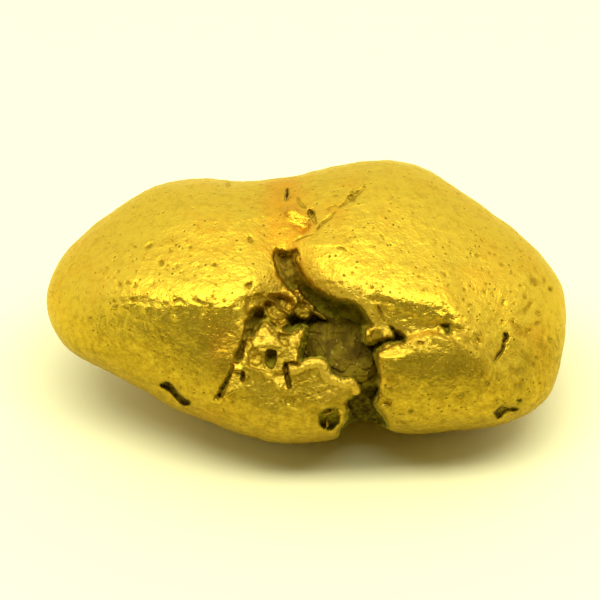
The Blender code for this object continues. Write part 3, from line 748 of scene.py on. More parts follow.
def tear_crevice(face):
    """The crevice: its slot, cavity and gap, and the bridge, slabs and needles across it."""
    face.lump(-1.22, -0.12, 0.4, -0.3, stretch=1.1, turn=1.2)
    deep = SLOT_DEPTH + (CAVITY_DEPTH - SLOT_DEPTH) * ease(-face.v, -0.75, 0.15)
    rusty = ease(face.v, 0.2, 0.9)
    stained = 0.56 + 0.14 * ease(-face.v, -0.35, 0.25) + 0.08 * ease(face.v, 0.2, 0.5)
    face.cut(CREVICE, deep, wall=0.16, rim=0.05, ragged=0.035, soil=stained)
    face.warm = np.maximum(face.warm, rusty * (face.soil > 0.45))
    face.lump(-0.5, 0.96, 0.21, 0.0, turn=-1.2, stretch=1.9, soil=0.82, warm=0.7)
    floor = SHEAR * face.v + GAP_FLOOR * ease(face.v, GAP_RIM, GAP_TOP)
    face.cut(GAP, face.base - floor, wall=0.2, rim=0.07, ragged=0.03, soil=0.84)
    face.facet(BRIDGE, 0.5, tilt=(-0.25, -0.15), wall=0.12, mode="raise", ragged=0.04, soil=0.42)
    face.facet(BRIDGE_SLOPE, 0.42, tilt=(-0.15, 0.1), wall=0.1, curl=0.4, soil=0.4)
    face.facet(OLIVE_SLAB, 0.48, tilt=(-0.15, -0.05), wall=0.09, curl=0.4, soil=0.36)
    face.crest([(-1.3, 0.27), (-1.05, 0.25), (-0.8, 0.2), (-0.63, 0.22), (-0.48, 0.14),
                (-0.36, 0.05)], 0.045, (0.04, 0.38), soil=0.15)
    face.slit([(-0.93, 0.12), (-0.74, 0.08), (-0.58, 0.03)], 0.03, 0.06, soil=0.5)
    face.cut(LEFT_HOLLOW, 1.05, wall=0.2, rim=0.05, ragged=0.04, soil=0.66, warm=0.4)
    face.facet(LUMP_SLAB, 0.34, tilt=(0.25, -0.05), wall=0.12, ragged=0.01, curl=1.3, soil=0.34,
               round_off=True)
    face.crest([(-0.8, -0.08), (-0.63, -0.2), (-0.5, -0.37), (-0.54, -0.52)], 0.028,
               (0.36, 0.42), soil=0.1)
    face.cut(DARK_POCKET, 1.1, wall=0.1, rim=0.03, soil=0.6)
    for line, width, depths in NEEDLES:
        face.crest(line, width, depths, steep=2.2, soil=0.08)
    face.crumbs(CREVICE_CRUMBS, soil=0.15)
    face.facet(KNOB, 0.36, tilt=(0.05, -0.45), wall=0.07, mode="raise", curl=0.5, soil=0.1)
    face.cut(POCKET, 0.75, wall=0.1, rim=0.04, soil=0.7)


def tear_block(face):
    """The torn block left of the crevice: slots, bright crest, square hole, chips and flap."""
    face.cut(DIAGONAL_SLOT, 0.55, wall=0.1, rim=0.03, ragged=0.03, soil=0.66, warm=0.7)
    face.facet(SHOULDER, 0.1, tilt=(0.5, -0.25), wall=0.05, mode="cut", soil=0.15)
    face.facet(UNDER_CREST, 0.13, tilt=(0.06, 0.02), wall=0.1, ragged=0.03, curl=0.2, soil=0.25)
    # Painted highlight: soil below 0 makes the crest lighter, cleaner gold.
    face.facet(BRIGHT_CREST, 0.03, tilt=(0.0, -0.42), wall=0.1, ragged=0.03, curl=0.9, soil=-0.15,
               round_off=True)
    face.slit([(-1.38, -1.25), (-1.1, -1.245), (-0.92, -1.22), (-0.8, -1.24)], 0.026, 0.07, soil=0.7)
    face.facet(PINK_CHIP, 0.05, tilt=(0.0, -0.4), wall=0.04, soil=0.15)
    face.cut(SQUARE_HOLE, 0.55, wall=0.05, rim=0.025, ragged=0.015, soil=0.62)
    face.facet(LEDGE, 0.2, tilt=(0.1, -0.2), wall=0.1, soil=0.3)
    # Painted highlight: soil below 0 makes the spike lighter gold.
    face.facet(SPIKE, 0.09, tilt=(0.1, -0.45), wall=0.07, ragged=0.02, curl=0.6, soil=-0.15)
    face.facet(COLUMN, 0.1, tilt=(0.2, -0.12), wall=0.09, soil=0.2)
    face.crest([(-0.3, -1.18), (-0.25, -1.34), (-0.28, -1.56)], 0.03, (0.06, 0.05), soil=0.0)
    face.lump(-0.62, -1.36, 0.05, 0.05)
    face.lump(-0.5, -1.76, 0.05, 0.05)
    face.slit([(-1.46, -1.55), (-1.36, -1.46), (-1.2, -1.47), (-1.14, -1.6), (-1.22, -1.72)],
              0.04, 0.07, soil=0.45)
    face.lump(-1.36, -1.66, 0.06, 0.08, turn=-0.6, stretch=1.6, soil=0.05)
    face.facet(LOW_BLOCK, 0.03, tilt=(0.02, 0.16), wall=0.55, ragged=0.05, soil=0.3)
    face.facet(FLAP, 0.0, tilt=(-0.05, 0.1), wall=0.4, ragged=0.05, soil=0.33)
    # Painted highlight: soil below 0 makes the flap's rim lighter gold.
    face.crest(FLAP_RIM, 0.045, (-0.13, -0.06), steep=0.85, soil=-0.15)
    face.slit([(-0.5, -1.68), (-0.36, -1.66), (-0.16, -1.7)], 0.04, 0.4, soil=0.7)
    face.slit([(-0.54, -1.66), (-0.52, -1.88), (-0.5, -2.08), (-0.44, -2.32)], 0.055, 0.5, soil=0.66)
    # Painted highlight: soil below 0 makes the chip lighter gold.
    face.facet(BRIGHT_CHIP, 0.02, tilt=(0.1, -0.45), wall=0.07, curl=0.4, soil=-0.15)
    face.crest([(-1.18, -1.88), (-1.08, -1.97), (-0.93, -2.01)], 0.03, (0.02, -0.04))
    face.crumbs(BLOCK_CRUMBS, soil=0.0)
    # Painted highlight: soil below 0 makes the side chip lighter gold.
    face.facet(SIDE_CHIP, -0.02, tilt=(0.1, -0.4), wall=0.06, soil=-0.1)
    face.facet(SIDE_SLOPE, 0.02, tilt=(0.25, -0.15), wall=0.05, soil=0.2)
    face.slit([(-1.69, -1.88), (-1.67, -2.01), (-1.71, -2.13)], 0.045, 0.4, soil=0.7)
    face.crest([(-2.5, -2.68), (-2.32, -2.72), (-2.2, -2.6), (-2.08, -2.66)], 0.03, (-0.03, -0.02))
    face.crest([(-0.48, -2.79), (-0.36, -2.85), (-0.18, -2.91)], 0.02, (-0.03, -0.02))
    face.cut(LOW_HOLE, 0.45, wall=0.06, rim=0.03, soil=0.62)
    face.facet([(0.42, -3.04), (0.54, -2.93), (0.76, -2.9), (0.74, -2.97), (0.55, -3.06)], 0.16,
               tilt=(0.2, -0.45), wall=0.04, mode="raise", ragged=0.01, soil=0.15)
    face.facet([(0.49, -3.16), (0.59, -3.13), (0.63, -3.34), (0.52, -3.42)], 0.22,
               tilt=(-0.2, -0.3), wall=0.04, mode="raise", ragged=0.01, soil=0.2)
    face.crest([(0.92, -2.94), (0.98, -3.06), (0.96, -3.2)], 0.03, (0.02, 0.05))
    face.crest([(1.04, -2.72), (1.08, -2.9)], 0.02, (0.25, 0.35))


def tear_right(face):
    """The right block's broken edge, crest and pits."""
    face.chips(CREST_ZONE, 0.24, 0.022, 0.34, 72, soils=(-0.2, 0.2))
    face.facet(APEX, 0.0, tilt=(0.05, -0.62), wall=0.07, ragged=0.03)
    face.crest(BLOCK_EDGE, 0.035, (0.02, 0.06), steep=1.2)
    face.slit([(2.76, -1.3), (3.0, -1.14), (3.15, -1.12)], 0.035, 0.06, soil=0.3)
    # Painted highlight: soil below 0 makes the crest's crumbs lighter gold.
    face.crumbs(CREST_CRUMBS, stretch=1.4, turn=0.3, soil=-0.1)
    face.cut([(3.56, -0.66), (3.66, -0.6), (3.84, -0.62), (3.88, -0.76), (3.8, -0.92),
              (3.68, -0.78)], 0.2, wall=0.06, rim=0.03, soil=0.75)
    face.cut(SIDE_PIT, 0.26, wall=0.07, rim=0.03, soil=0.85, warm=0.6)
    face.cut([(5.62, -2.66), (5.74, -2.62), (5.84, -2.7), (5.74, -2.74)], 0.14, wall=0.05, rim=0.02,
             soil=0.8)


def mark(face):
    """Chips, pits, slits and scuffs that gravel left on the lobes, and the waist's torn chip."""
    face.lump(4.2, -0.86, 0.3, 0.1, turn=-0.3, stretch=1.5)
    face.lump(-2.28, -1.8, 0.42, 0.09, turn=1.2, stretch=1.3)
    # Painted shade: a dark stain, over a slight dent, under the right brow's lip where shade falls.
    face.lump(1.98, 0.02, 0.1, -0.03, turn=-0.15, stretch=2.4, soil=0.45)
    face.cut(COMMA, 0.32, wall=0.07, rim=0.03, ragged=0.01, soil=0.85, warm=0.6)
    face.facet(WAIST_CHIP, 0.03, tilt=(0.1, -0.16), wall=0.16, ragged=0.05, rag_size=0.25)
    # Pits packed with dark soil, which also paints the shade that these shallow pits can't cast.
    for u, v, size, depth in PITS:
        face.lump(u, v, size, -depth, turn=7 * u, stretch=1.25, soil=0.85, warm=1.0)
    for line, width, depth, soil in SLITS:
        face.slit(line, width, depth, soil=soil)
    rng = np.random.default_rng(61)
    for brow_line, start, end in SCUFFED:
        for u in rng.uniform(start, end, BROW_SCUFFS):
            v = height_of(brow_line, u) + rng.normal(0.02, 0.13)
            half, tip = rng.uniform(0.03, 0.09), rng.normal(0.0, 0.03)
            face.slit([(u - half, v + tip), (u, v + rng.normal(0, 0.03)), (u + half, v - tip)],
                      rng.uniform(0.018, 0.03), rng.uniform(0.02, 0.06), soil=0.6)
            face.lump(u + rng.normal(0, 0.15), v - rng.uniform(0.05, 0.25), 0.05, 0.03,
                      turn=rng.normal(0, 0.4), stretch=rng.uniform(1.0, 2.2))
    for _ in range(TOP_PITS):
        size = 0.012 * rng.pareto(2.0) + 0.014
        if size < 0.07:
            face.lump(rng.uniform(-5.6, 6.2), rng.normal(0.5, 0.7), size, -1.2 * size,
                      turn=rng.uniform(0, 3.1), stretch=rng.uniform(1.0, 1.9),
                      soil=rng.uniform(0.42, 0.72), warm=1.0)
    for _ in range(END_PITS):
        size = rng.uniform(0.045, 0.085)
        face.lump(rng.uniform(5.4, 6.7), rng.uniform(-2.3, 0.9), size, -0.6 * size,
                  turn=rng.uniform(0, 3.1), stretch=rng.uniform(1.0, 2.2),
                  soil=rng.uniform(0.4, 0.66), warm=1.0)
    for u, v, size, height in FLECKS:
        face.lump(u, v, size, height, turn=9 * u, stretch=1.5)
    for u, v, width, height, share in TINTS:
        face.tint(u, v, width, height, share)


def tear(face):
    """Works the whole front, from the crevice outwards."""
    # Painted shade: the soil level rises down the front, so the gold there is darker towards the
    # bottom.
    face.soil += LOWER_FRONT_SHADE * ease(-face.v, 0.0, 1.6)
    face.chips(TORN_ZONE, 0.3, 0.035, 0.22, 71, soils=(0.0, 0.2))
    tear_crevice(face)
    tear_block(face)
    tear_right(face)
    mark(face)


def dents(away, angle):
    """Share by which the broad dents draw the back in, with a bell over each one's spread."""
    drawn = np.zeros(away.shape)
    for around, tilt, spread, depth in DENTS:
        around, tilt, spread = np.radians([around, tilt, spread])
        cosine = np.cos(away) * math.cos(tilt)
        cosine += np.sin(away) * math.sin(tilt) * np.cos(angle - around)
        gap = np.arccos(np.clip(cosine, -1.0, 1.0))
        drawn += depth / DENT_REACH * np.exp(-((gap / spread) ** 2))
    return drawn


def to_world(u, v, w):
    """Metres in the shared frame from millimetres in the leaning frame."""
    back, up = math.sin(LEAN), math.cos(LEAN)
    x, y, z = u, v * back - w * up + CENTRE_BACK, v * up + w * back + CENTRE_HEIGHT
    return np.stack([x, y, z], axis=-1) * MM


def to_leaning(points):
    """Millimetres in the leaning frame from metres in the shared frame."""
    x, y, z = points.T / MM
    y, z = y - CENTRE_BACK, z - CENTRE_HEIGHT
    back, up = math.sin(LEAN), math.cos(LEAN)
    return x, y * back + z * up, z * back - y * up


def ball(columns, away):
    """Angles round w and away from w on a grid, with so many columns to each row."""
    return np.meshgrid(np.linspace(-math.pi, math.pi, columns, endpoint=False), away)


def body_grid(columns, front_rows, back_rows):
    """The body as rows round w and columns along each row: angle away from w by angle round it.
    The reach across is the outline's radius times the sine of the angle away."""
    angle, away = ball(columns, np.concatenate([
        np.linspace(BODY_POLE, math.pi / 2, front_rows, endpoint=False),
        np.linspace(math.pi / 2, math.pi - BODY_POLE, back_rows),
    ]))
    share = np.sin(away)
    notch = np.exp(-(((angle - NOTCH_ANGLE) / NOTCH_WIDTH) ** 4)) * ease(share, *NOTCH_FADE)
    radius = outline_radius(angle) * (1 - NOTCH_DEPTH * notch)
    u, v = share * radius * np.cos(angle), share * radius * np.sin(angle)
    w = np.empty_like(u)
    face = TornFace(u[:front_rows].ravel(), v[:front_rows].ravel())
    tear(face)
    w[:front_rows] = face.w.reshape(front_rows, columns)
    w[front_rows:] = back_height(u[front_rows:], v[front_rows:], share[front_rows:])
    keep = 1.0 - dents(away, angle)
    return to_world(u * keep, v * keep, w * keep)


def quartz_grid():
    """The stone as rows round w. The reach in each direction is the root of the sum of its three
    parts' powers, which swells a ball towards a box, and the swells and facets make it uneven."""
    angle, away = ball(QUARTZ_COLUMNS, np.linspace(QUARTZ_POLE, math.pi - QUARTZ_POLE, QUARTZ_ROWS))
    way = direction(angle, away).reshape(-1, 3)
    reach = (np.abs(way) ** QUARTZ_SQUARE).sum(1) ** (-1.0 / QUARTZ_SQUARE)
    reach += layers(way, QUARTZ_SWELLS)
    for layer in facets(way, QUARTZ_FACETS, limit=1.5):
        reach += layer
    u, v, w = (way * reach[:, None] * QUARTZ_HALF_SIZE + QUARTZ_CENTRE).T
    w += QUARTZ_SLOPE * (v - QUARTZ_CENTRE[1])
    return to_world(u, v, w).reshape(*angle.shape, 3)


def grid_mesh(name, points):
    """A closed mesh from a grid: quads between neighbours, going round each row, and one
    many-sided face over each end row."""
    rows, columns = points.shape[:2]
    first = np.arange(rows - 1)[:, None] * columns
    here = np.arange(columns)[None]
    beside = (here + 1) % columns
    quads = np.stack([first + here, first + columns + here, first + columns + beside,
                      first + beside], axis=-1).reshape(-1, 4)
    corners = np.concatenate([quads.ravel(), np.arange(columns),
                              np.arange(rows * columns - 1, (rows - 1) * columns - 1, -1)])
    starts = np.concatenate([np.arange(len(quads)) * 4, [4 * len(quads), 4 * len(quads) + columns]])
    mesh = bpy.data.meshes.new(name)
    mesh.vertices.add(rows * columns)
    mesh.vertices.foreach_set("co", points.reshape(-1, 3).astype(np.float32).ravel())
    mesh.loops.add(len(corners))
    mesh.loops.foreach_set("vertex_index", corners.astype(np.int32))
    mesh.polygons.add(len(starts))
    mesh.polygons.foreach_set("loop_start", starts.astype(np.int32))
    mesh.update(calc_edges=True)
    return mesh


def rows_of(items, name):
    """One vector of each of a mesh's items, as an array of rows."""
    flat = np.empty(len(items) * 3, np.float32)
    items.foreach_get(name, flat)
    return flat.reshape(-1, 3).astype(float)


def finished(obj, kind, **settings):
    """Adds a modifier of a kind to an object and makes its result the object's mesh."""
    modifier = obj.modifiers.new(kind, kind)
    for name, value in settings.items():
        setattr(modifier, name, value)
    shown = obj.evaluated_get(bpy.context.evaluated_depsgraph_get())
    result = bpy.data.meshes.new_from_object(shown)
    old = obj.data
    obj.modifiers.remove(modifier)
    obj.data = result
    bpy.data.meshes.remove(old)
    return result


def store(mesh, name, values):
    """Keeps one number for each vertex as an attribute of the mesh."""
    attribute = mesh.attributes.new(name, "FLOAT", "POINT")
    attribute.data.foreach_set("value", values.astype(np.float32))


def new_object(mesh):
    """An object that shows a mesh, in the scene."""
    obj = bpy.data.objects.new(mesh.name, mesh)
    bpy.context.scene.collection.objects.link(obj)
    return obj


class Wire:
    """A socket in a material. Arithmetic on wires adds Math nodes, and node() adds any other."""

    def __init__(self, tree, socket=None):
        self.tree, self.socket = tree, socket

    def node(self, kind, settings=None, sockets=None, output=0):
        """Adds a node: its settings first, then the values or wires of its sockets."""
        added = self.tree.nodes.new(kind)
        for name, value in (settings or {}).items():
            setattr(added, name, value)
        for name, value in (sockets or {}).items():
            if isinstance(value, Wire):
                self.tree.links.new(value.socket, added.inputs[name])
            else:
                added.inputs[name].default_value = value
        return Wire(self.tree, added.outputs[output])

    def math(self, operation, first, second):
        """Adds a Math node."""
        return self.node("ShaderNodeMath", {"operation": operation}, {0: first, 1: second})

    def __add__(self, other):
        return self.math("ADD", self, other)

    def __mul__(self, other):
        return self.math("MULTIPLY", self, other)

    def __sub__(self, other):
        return self.math("SUBTRACT", self, other)

    def __rsub__(self, other):
        return self.math("SUBTRACT", other, self)

    __radd__, __rmul__ = __add__, __mul__

    def between(self, low, high):
        """0 at low, 1 at high, and clamped outside them."""
        return self.node("ShaderNodeMapRange", {"interpolation_type": "SMOOTHSTEP"},
                         {"Value": self, "From Min": low, "From Max": high})

    def mix(self, start, end):
        """A colour between start and end, by this wire's value. A Mix node's colours are its
        sockets 6 and 7, and its output 2."""
        return self.node("ShaderNodeMix", {"data_type": "RGBA"}, {0: self, 6: start, 7: end}, 2)


def noise(place, size, detail=2.0, roughness=0.5):
    """Noise texture whose features are about a size in millimetres."""
    return place.node("ShaderNodeTexNoise", {}, {
        "Vector": place, "Scale": 1.0 / (size * MM), "Detail": detail, "Roughness": roughness})


def cells(place, size):
    """Distance in a cell texture whose cells are about a size in millimetres."""
    return place.node("ShaderNodeTexVoronoi", {}, {"Vector": place, "Scale": 1.0 / (size * MM)})


def kept(place, name):
    """The numbers that a mesh keeps under a name."""
    return place.node("ShaderNodeAttribute", {"attribute_name": name}, output="Fac")


def material_base(name):
    """An empty material, its Principled BSDF and the object's coordinates."""
    material = bpy.data.materials.new(name)
    material.use_nodes = True
    tree = material.node_tree
    place = Wire(tree).node("ShaderNodeTexCoord", output="Object")
    return material, tree.nodes["Principled BSDF"], place


def connect(skin, name, wire):
    """Links a wire to a socket of a skin."""
    wire.tree.links.new(wire.socket, skin.inputs[name])


def connect_bump(skin, height):
    """Makes a height in metres the skin's bump."""
    bump = height.node("ShaderNodeBump", {}, {"Strength": 1.0, "Distance": 1.0, "Height": height})
    connect(skin, "Normal", bump)


def gold_material(colours):
    """Native gold: lemon to orange patches, worn satin with fine grain, olive film and brown rust
    in the hollows, and dark soil packed into the pits, which also paints the shade of pits too
    shallow to cast it. Darker tarnished gold is also painted shade down the lower front and under
    the right brow, and lighter clean gold is painted highlight on bright rims and chips."""
    material, skin, place = material_base("native_gold")
    soil, warm, torn = kept(place, "soil"), kept(place, "warm"), kept(place, "torn")
    patches = noise(place, PATCHES, 3.0, 0.55).between(0.4, 0.68)
    mottle = noise(place, MOTTLE, 3.0, 0.6)
    blotches = noise(place, BLOTCHES, 3.0, 0.62)
    fine = noise(place, FINE_GRAIN, 3.0, 0.65)
    orange = (patches * 0.4 + warm * 0.8 + (blotches - 0.5) * 1.0).between(0.0, 1.0)
    colour = orange.mix(colours.gold, colours.warm_gold)
    colour = (torn * 0.6).mix(colour, colours.torn_gold)
    specks = 1.0 - cells(place, SPECKS).between(0.1, 0.26)
    specks = specks * noise(place, SPECK_FIELDS).between(0.46, 0.6)
    dust = (fine - 0.5) * 0.6 + (blotches - 0.5) * 0.9 + (mottle - 0.5) * 0.6 + specks * 0.35
    # Darker tarnished gold by the soil level and random dust: real tarnish, and painted shade where the
    # soil level holds it; below 0 it gives lighter gold as painted highlight.
    tarnish_and_shade = (soil * 1.3 + dust + 0.12).between(0.0, 0.8)
    colour = tarnish_and_shade.mix(colour, colours.tarnish_and_shade)
    colour = (specks * 0.5).mix(colour, specks.mix(colours.rust, colours.soil))
    crust = (soil + dust * 0.3).between(0.4, 0.58)
    dregs = warm.mix(colours.film, colours.rust)
    colour = crust.mix(colour, (blotches.between(0.4, 0.6) * 0.45).mix(dregs, colours.soil))
    # Dark packed soil; in the shallow pits it also paints the shade they can't cast.
    packed = (soil + dust * 0.3).between(0.66, 0.95)
    colour = packed.mix(colour, colours.soil)
    connect(skin, "Base Color", colour)
    connect(skin, "Metallic", 1.0 - crust * 0.9)
    roughness = 0.4 + (fine - 0.5) * 0.2 + tarnish_and_shade * 0.08 + crust * 0.4 + torn * 0.08
    connect(skin, "Roughness", roughness)
    skin.inputs["Specular IOR Level"].default_value = 0.05
    skin.inputs["Specular Tint"].default_value = colours.edge
    height = fine * (torn * 0.02 + 0.022) * MM + blotches * 0.028 * MM
    connect_bump(skin, height + mottle * 0.025 * MM - specks * 0.02 * MM)
    return material


def quartz_material(colours):
    """Iron-stained quartz: mottled brown with darker seams, dull, with pale grains."""
    material, skin, place = material_base("stained_quartz")
    mottle = noise(place, 0.4, 4.0, 0.6)
    streaks = place.node("ShaderNodeMapping", {}, {"Vector": place, "Scale": (4.0, 1.0, 1.0)})
    streaks = noise(streaks, 0.8, 3.0, 0.6)
    colour = mottle.between(0.38, 0.62).mix(colours.stone_dark, colours.stone)
    colour = (streaks.between(0.5, 0.66) * 0.5).mix(colour, colours.soil)
    flecks = noise(place, 0.13).between(0.6, 0.78)
    colour = flecks.mix(colour, colours.stone_fleck)
    connect(skin, "Base Color", colour)
    connect(skin, "Roughness", 0.65 - flecks * 0.2)
    skin.inputs["Specular IOR Level"].default_value = 0.06
    connect_bump(skin, noise(place, 0.12, 3.0) * 0.06 * MM + mottle * 0.06 * MM)
    return material


def table_material(colour):
    """Dull pale paper."""
    material, skin, _ = material_base("pale_paper")
    skin.inputs["Base Color"].default_value = colour
    skin.inputs["Roughness"].default_value = TABLE_ROUGHNESS
    return material


def length(name, description, default, **limits):
    """A setting for a length in metres."""
    return bpy.props.FloatProperty(
        name=name, description=description, default=default, unit="LENGTH", **limits)


def strength(name, description, default):
    """A setting for how strong a part of the room's light is."""
    return bpy.props.FloatProperty(name=name, description=description, default=default)


def tone(name, description, *colour):
    """A setting for a solid colour."""
    return bpy.props.FloatVectorProperty(
        name=name, description=description, subtype="COLOR", size=4, default=(*colour, 1.0))


class NuggetShape(bpy.types.PropertyGroup):
    """Sizes of the nugget's skin."""

    cell: length("Skin cell", "Edge of the cells that the skin is rebuilt from", 0.028 * MM,
                 min=0.01 * MM)
    triangles: bpy.props.IntProperty(
        name="Triangles", description="Most triangles that the gold body keeps",
        default=194000, min=1000)
    dent_size: length("Dent size", "Width of the dents that gravel hammered", 0.55 * MM)
    dent_depth: length("Dent depth", "Depth of the dents that gravel hammered", 0.016 * MM)
    grain_size: length("Grain size", "Width of the smallest hammer marks", 0.19 * MM)
    grain_depth: length("Grain depth", "Depth of the smallest hammer marks", 0.007 * MM)


class NuggetColours(bpy.types.PropertyGroup):
    """Colours of the nugget's materials."""

    gold: tone("Gold", "Colour of the clean gold", 0.605, 0.416, 0.029)
    warm_gold: tone("Warm gold", "Colour of the gold in its orange patches", 0.614, 0.314, 0.017)
    # Darker gold for real tarnish, also used as painted shade down the lower front.
    tarnish_and_shade: tone("Tarnished gold", "Colour of the gold where it is dullest", 0.325, 0.213, 0.01)
    torn_gold: tone("Torn gold", "Colour of the gold where it is freshly torn", 0.605, 0.412, 0.047)
    edge: tone("Edge tint", "Tint of the gold's reflection at a glancing angle", 0.94, 0.9, 0.62)
    film: tone("Film", "Colour of the olive film in the hollows", 0.358, 0.298, 0.014)
    rust: tone("Rust", "Colour of the iron stain in the slots", 0.478, 0.29, 0.017)
    # Near-black soil in pits and hollows; in shallow pits it also paints their shade.
    soil: tone("Soil", "Colour of the soil packed in the pits", 0.039, 0.021, 0.003)
    stone_dark: tone("Dark stone", "Colour of the quartz where it is most stained",
                     0.098, 0.061, 0.002)
    stone: tone("Stone", "Colour of the stained quartz", 0.183, 0.128, 0.004)
    stone_fleck: tone("Stone fleck", "Colour of the quartz's pale grains", 0.306, 0.23, 0.03)


class StageLook(bpy.types.PropertyGroup):
    """Table, lamp, room light and camera."""

    table: tone("Table", "Colour of the table", 0.84, 0.82, 0.46)
    table_size: length("Table size", "Width of the table", 3.0)
    top_power: bpy.props.FloatProperty(
        name="Top lamp", description="Power of the lamp overhead", default=0.47, unit="POWER")
    room: strength("Room light", "Strength of the light from above and behind", 1.36)
    room_dim: strength("Dim room light", "Strength of the light from low in front", 0.03)
    bright_colour: tone("Bright room", "Colour of the room's light from above and behind",
                        1.0, 1.0, 0.95)
    dim_colour: tone("Dim room", "Colour of the room's light from low in front", 1.0, 0.93, 0.12)
    distance: length("Camera distance", "From the nugget to the camera", 0.3)


def direction(around, away):
    """Unit directions from angles round w and away from w."""
    return np.stack([np.sin(away) * np.cos(around), np.sin(away) * np.sin(around), np.cos(away)], -1)


def ball_way(around, away):
    """Unit directions from angles in degrees."""
    return direction(np.radians(around), np.radians(away))


def weather(u, v, w):
    """Depth and soil of the cracks, hollows and pits on the back, over which each place's
    direction from the middle is taken on a ball: bells across a crack's line or round a spot."""
    way = np.stack([u, v, w], axis=1) / BALL_HALF_SIZES
    way /= np.linalg.norm(way, axis=1)[:, None]
    sink, soil = np.zeros(len(way)), np.zeros(len(way))
    back = np.flatnonzero(way[:, 2] < -0.05)
    bent = warp(way[back], 0.035, 0.12, 91)
    rng = np.random.default_rng(94)
    spots = [(ball_way(around, away), size, depth) for around, away, size, depth in HOLLOWS]
    for _ in range(BACK_PITS):
        size = 0.02 * rng.pareto(1.8) + 0.025
        spot = ball_way(rng.uniform(0, 360), 93 + 75 * rng.random())
        spots.append((spot, min(size, 0.11), min(1.1 * size, 0.1)))
    dip, share = np.zeros(len(back)), np.zeros(len(back))
    for spot, size, depth in spots:
        bell = np.exp(-((np.linalg.norm(bent - spot, axis=1) * BALL_RADIUS / size) ** 4))
        dip, share = np.maximum(dip, depth * bell), np.maximum(share, bell)
    for track, width, depth in CRACKS:
        run = spline(ball_way(*np.transpose(track)), closed=False, steps=4)
        for k, (start, end) in enumerate(zip(run[:-1], run[1:])):
            step = end - start
            along = np.clip((bent - start) @ step / (step @ step), 0.0, 1.0)
            gap = np.linalg.norm(bent - start - along[:, None] * step, axis=1)
            wide = width * (0.35 + 0.65 * np.sin(math.pi * (k + along) / (len(run) - 1)))
            bell = np.exp(-((gap * BALL_RADIUS / wide) ** 4)) * ease(wide, 0.3 * width, 0.7 * width)
            dip, share = np.maximum(dip, depth * bell), np.maximum(share, bell)
    sink[back], soil[back] = dip, 0.9 * share
    return sink, soil


def strike(points, normals, torn, shape):
    """The skin after hammering: places moved along their normals by broad swells, by dents with a
    rounded floor in each cell of a strewn lattice, by the grain of the hammer marks, by what the
    back weathered, and by small flat facets where it is torn."""
    mm = points / MM
    dent, grain = shape.dent_size / MM, shape.grain_size / MM
    move = layers(mm, SWELLS)
    cup, _ = nearest_cell(warp(mm, 0.12, 0.5, 23), dent, 26)
    move += (np.clip(cup, 0.0, 1.0) ** 2 - 0.3) * shape.dent_depth / MM
    for size, depth, seed in GRAINS:
        move += scatter(mm, size * grain, seed) * depth * shape.grain_depth / MM
    u, v, w = to_leaning(points)
    move -= weather(u, v, w)[0]
    move += ease(-w, -0.5, 1.0) * layers(mm, BACK_SWELLS)
    at = np.flatnonzero(torn > 0.02)
    chip = sum(facets(warp(mm[at], 0.05, 0.15, 33), TORN_FACETS))
    chip += layers(mm[at], [TORN_GRAIN])
    move[at] += torn[at] * np.clip(chip, -TORN_LIMIT, TORN_LIMIT)
    return points + normals * (move * MM)[:, None]


def torn_share(u, v, w):
    """How much each place belongs to the torn part of the front, from 0 to 1: flat-topped bells
    over its parts."""
    share = np.zeros(u.shape)
    for u0, v0, width, height, power, most in TORN_PARTS:
        bell = np.exp(-(((u - u0) / width) ** power) - ((v - v0) / height) ** power)
        share = np.maximum(share, most * bell)
    return share * ease(w, 0.3, 1.2)


def worn_flat(points):
    """The places with everything under the table squeezed up to a flat at its surface."""
    points = points.copy()
    points[:, 2] = soft_positive(points[:, 2] / MM, FLAT_SOFTNESS) * MM
    return points


class NUGGET_OT_gold_body(bpy.types.Operator):
    """Makes the gold body: its grid, torn front, hammered skin and stained hollows."""

    bl_idname = "nugget.gold_body"
    bl_label = "Gold body"

    def execute(self, context):
        shape = context.scene.nugget_shape
        obj = new_object(grid_mesh("gold_body", body_grid(*BODY_GRID)))
        mesh = finished(obj, "REMESH", mode="VOXEL", voxel_size=shape.cell, adaptivity=0.0)
        points, normals = rows_of(mesh.vertices, "co"), rows_of(mesh.vertex_normals, "vector")
        points = strike(points, normals, torn_share(*to_leaning(points)), shape)
        mesh.vertices.foreach_set("co", worn_flat(points).astype(np.float32).ravel())
        mesh.update()
        count = len(mesh.loops) - 2 * len(mesh.polygons)
        mesh = finished(obj, "DECIMATE", ratio=shape.triangles / count)
        u, v, w = to_leaning(rows_of(mesh.vertices, "co"))
        face = TornFace(u, v)
        tear(face)
        front = ease(w - np.minimum(face.w, face.base - 0.2), -0.9, -0.5)
        packed = weather(u, v, w)[1]
        # The soil level is real stains and packed soil, plus painted shade down the lower front and
        # under the right brow, and painted highlight where it is below 0.
        store(mesh, "soil", np.maximum(face.soil * front, packed))
        store(mesh, "warm", np.maximum(face.warm * front, 0.8 * packed))
        store(mesh, "torn", torn_share(u, v, w))
        mesh.shade_smooth()
        mesh.name = obj.name = "gold_body"
        mesh.materials.append(gold_material(context.scene.nugget_colours))
        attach(obj, "root")
        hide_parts("gold_nugget")
        return {"FINISHED"}


class NUGGET_OT_quartz(bpy.types.Operator):
    """Makes the quartz remnant: a lumpy stone lodged in the crevice."""

    bl_idname = "nugget.quartz"
    bl_label = "Quartz remnant"

    def execute(self, context):
        obj = new_object(grid_mesh("quartz_stone", quartz_grid()))
        obj.data.shade_smooth()
        obj.data.materials.append(quartz_material(context.scene.nugget_colours))
        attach(obj, "root")
        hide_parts("quartz_remnant")
        return {"FINISHED"}


def front_way(height):
    """Unit direction to the front, at an angle above the table."""
    return Vector((0.0, -math.cos(height), math.sin(height)))


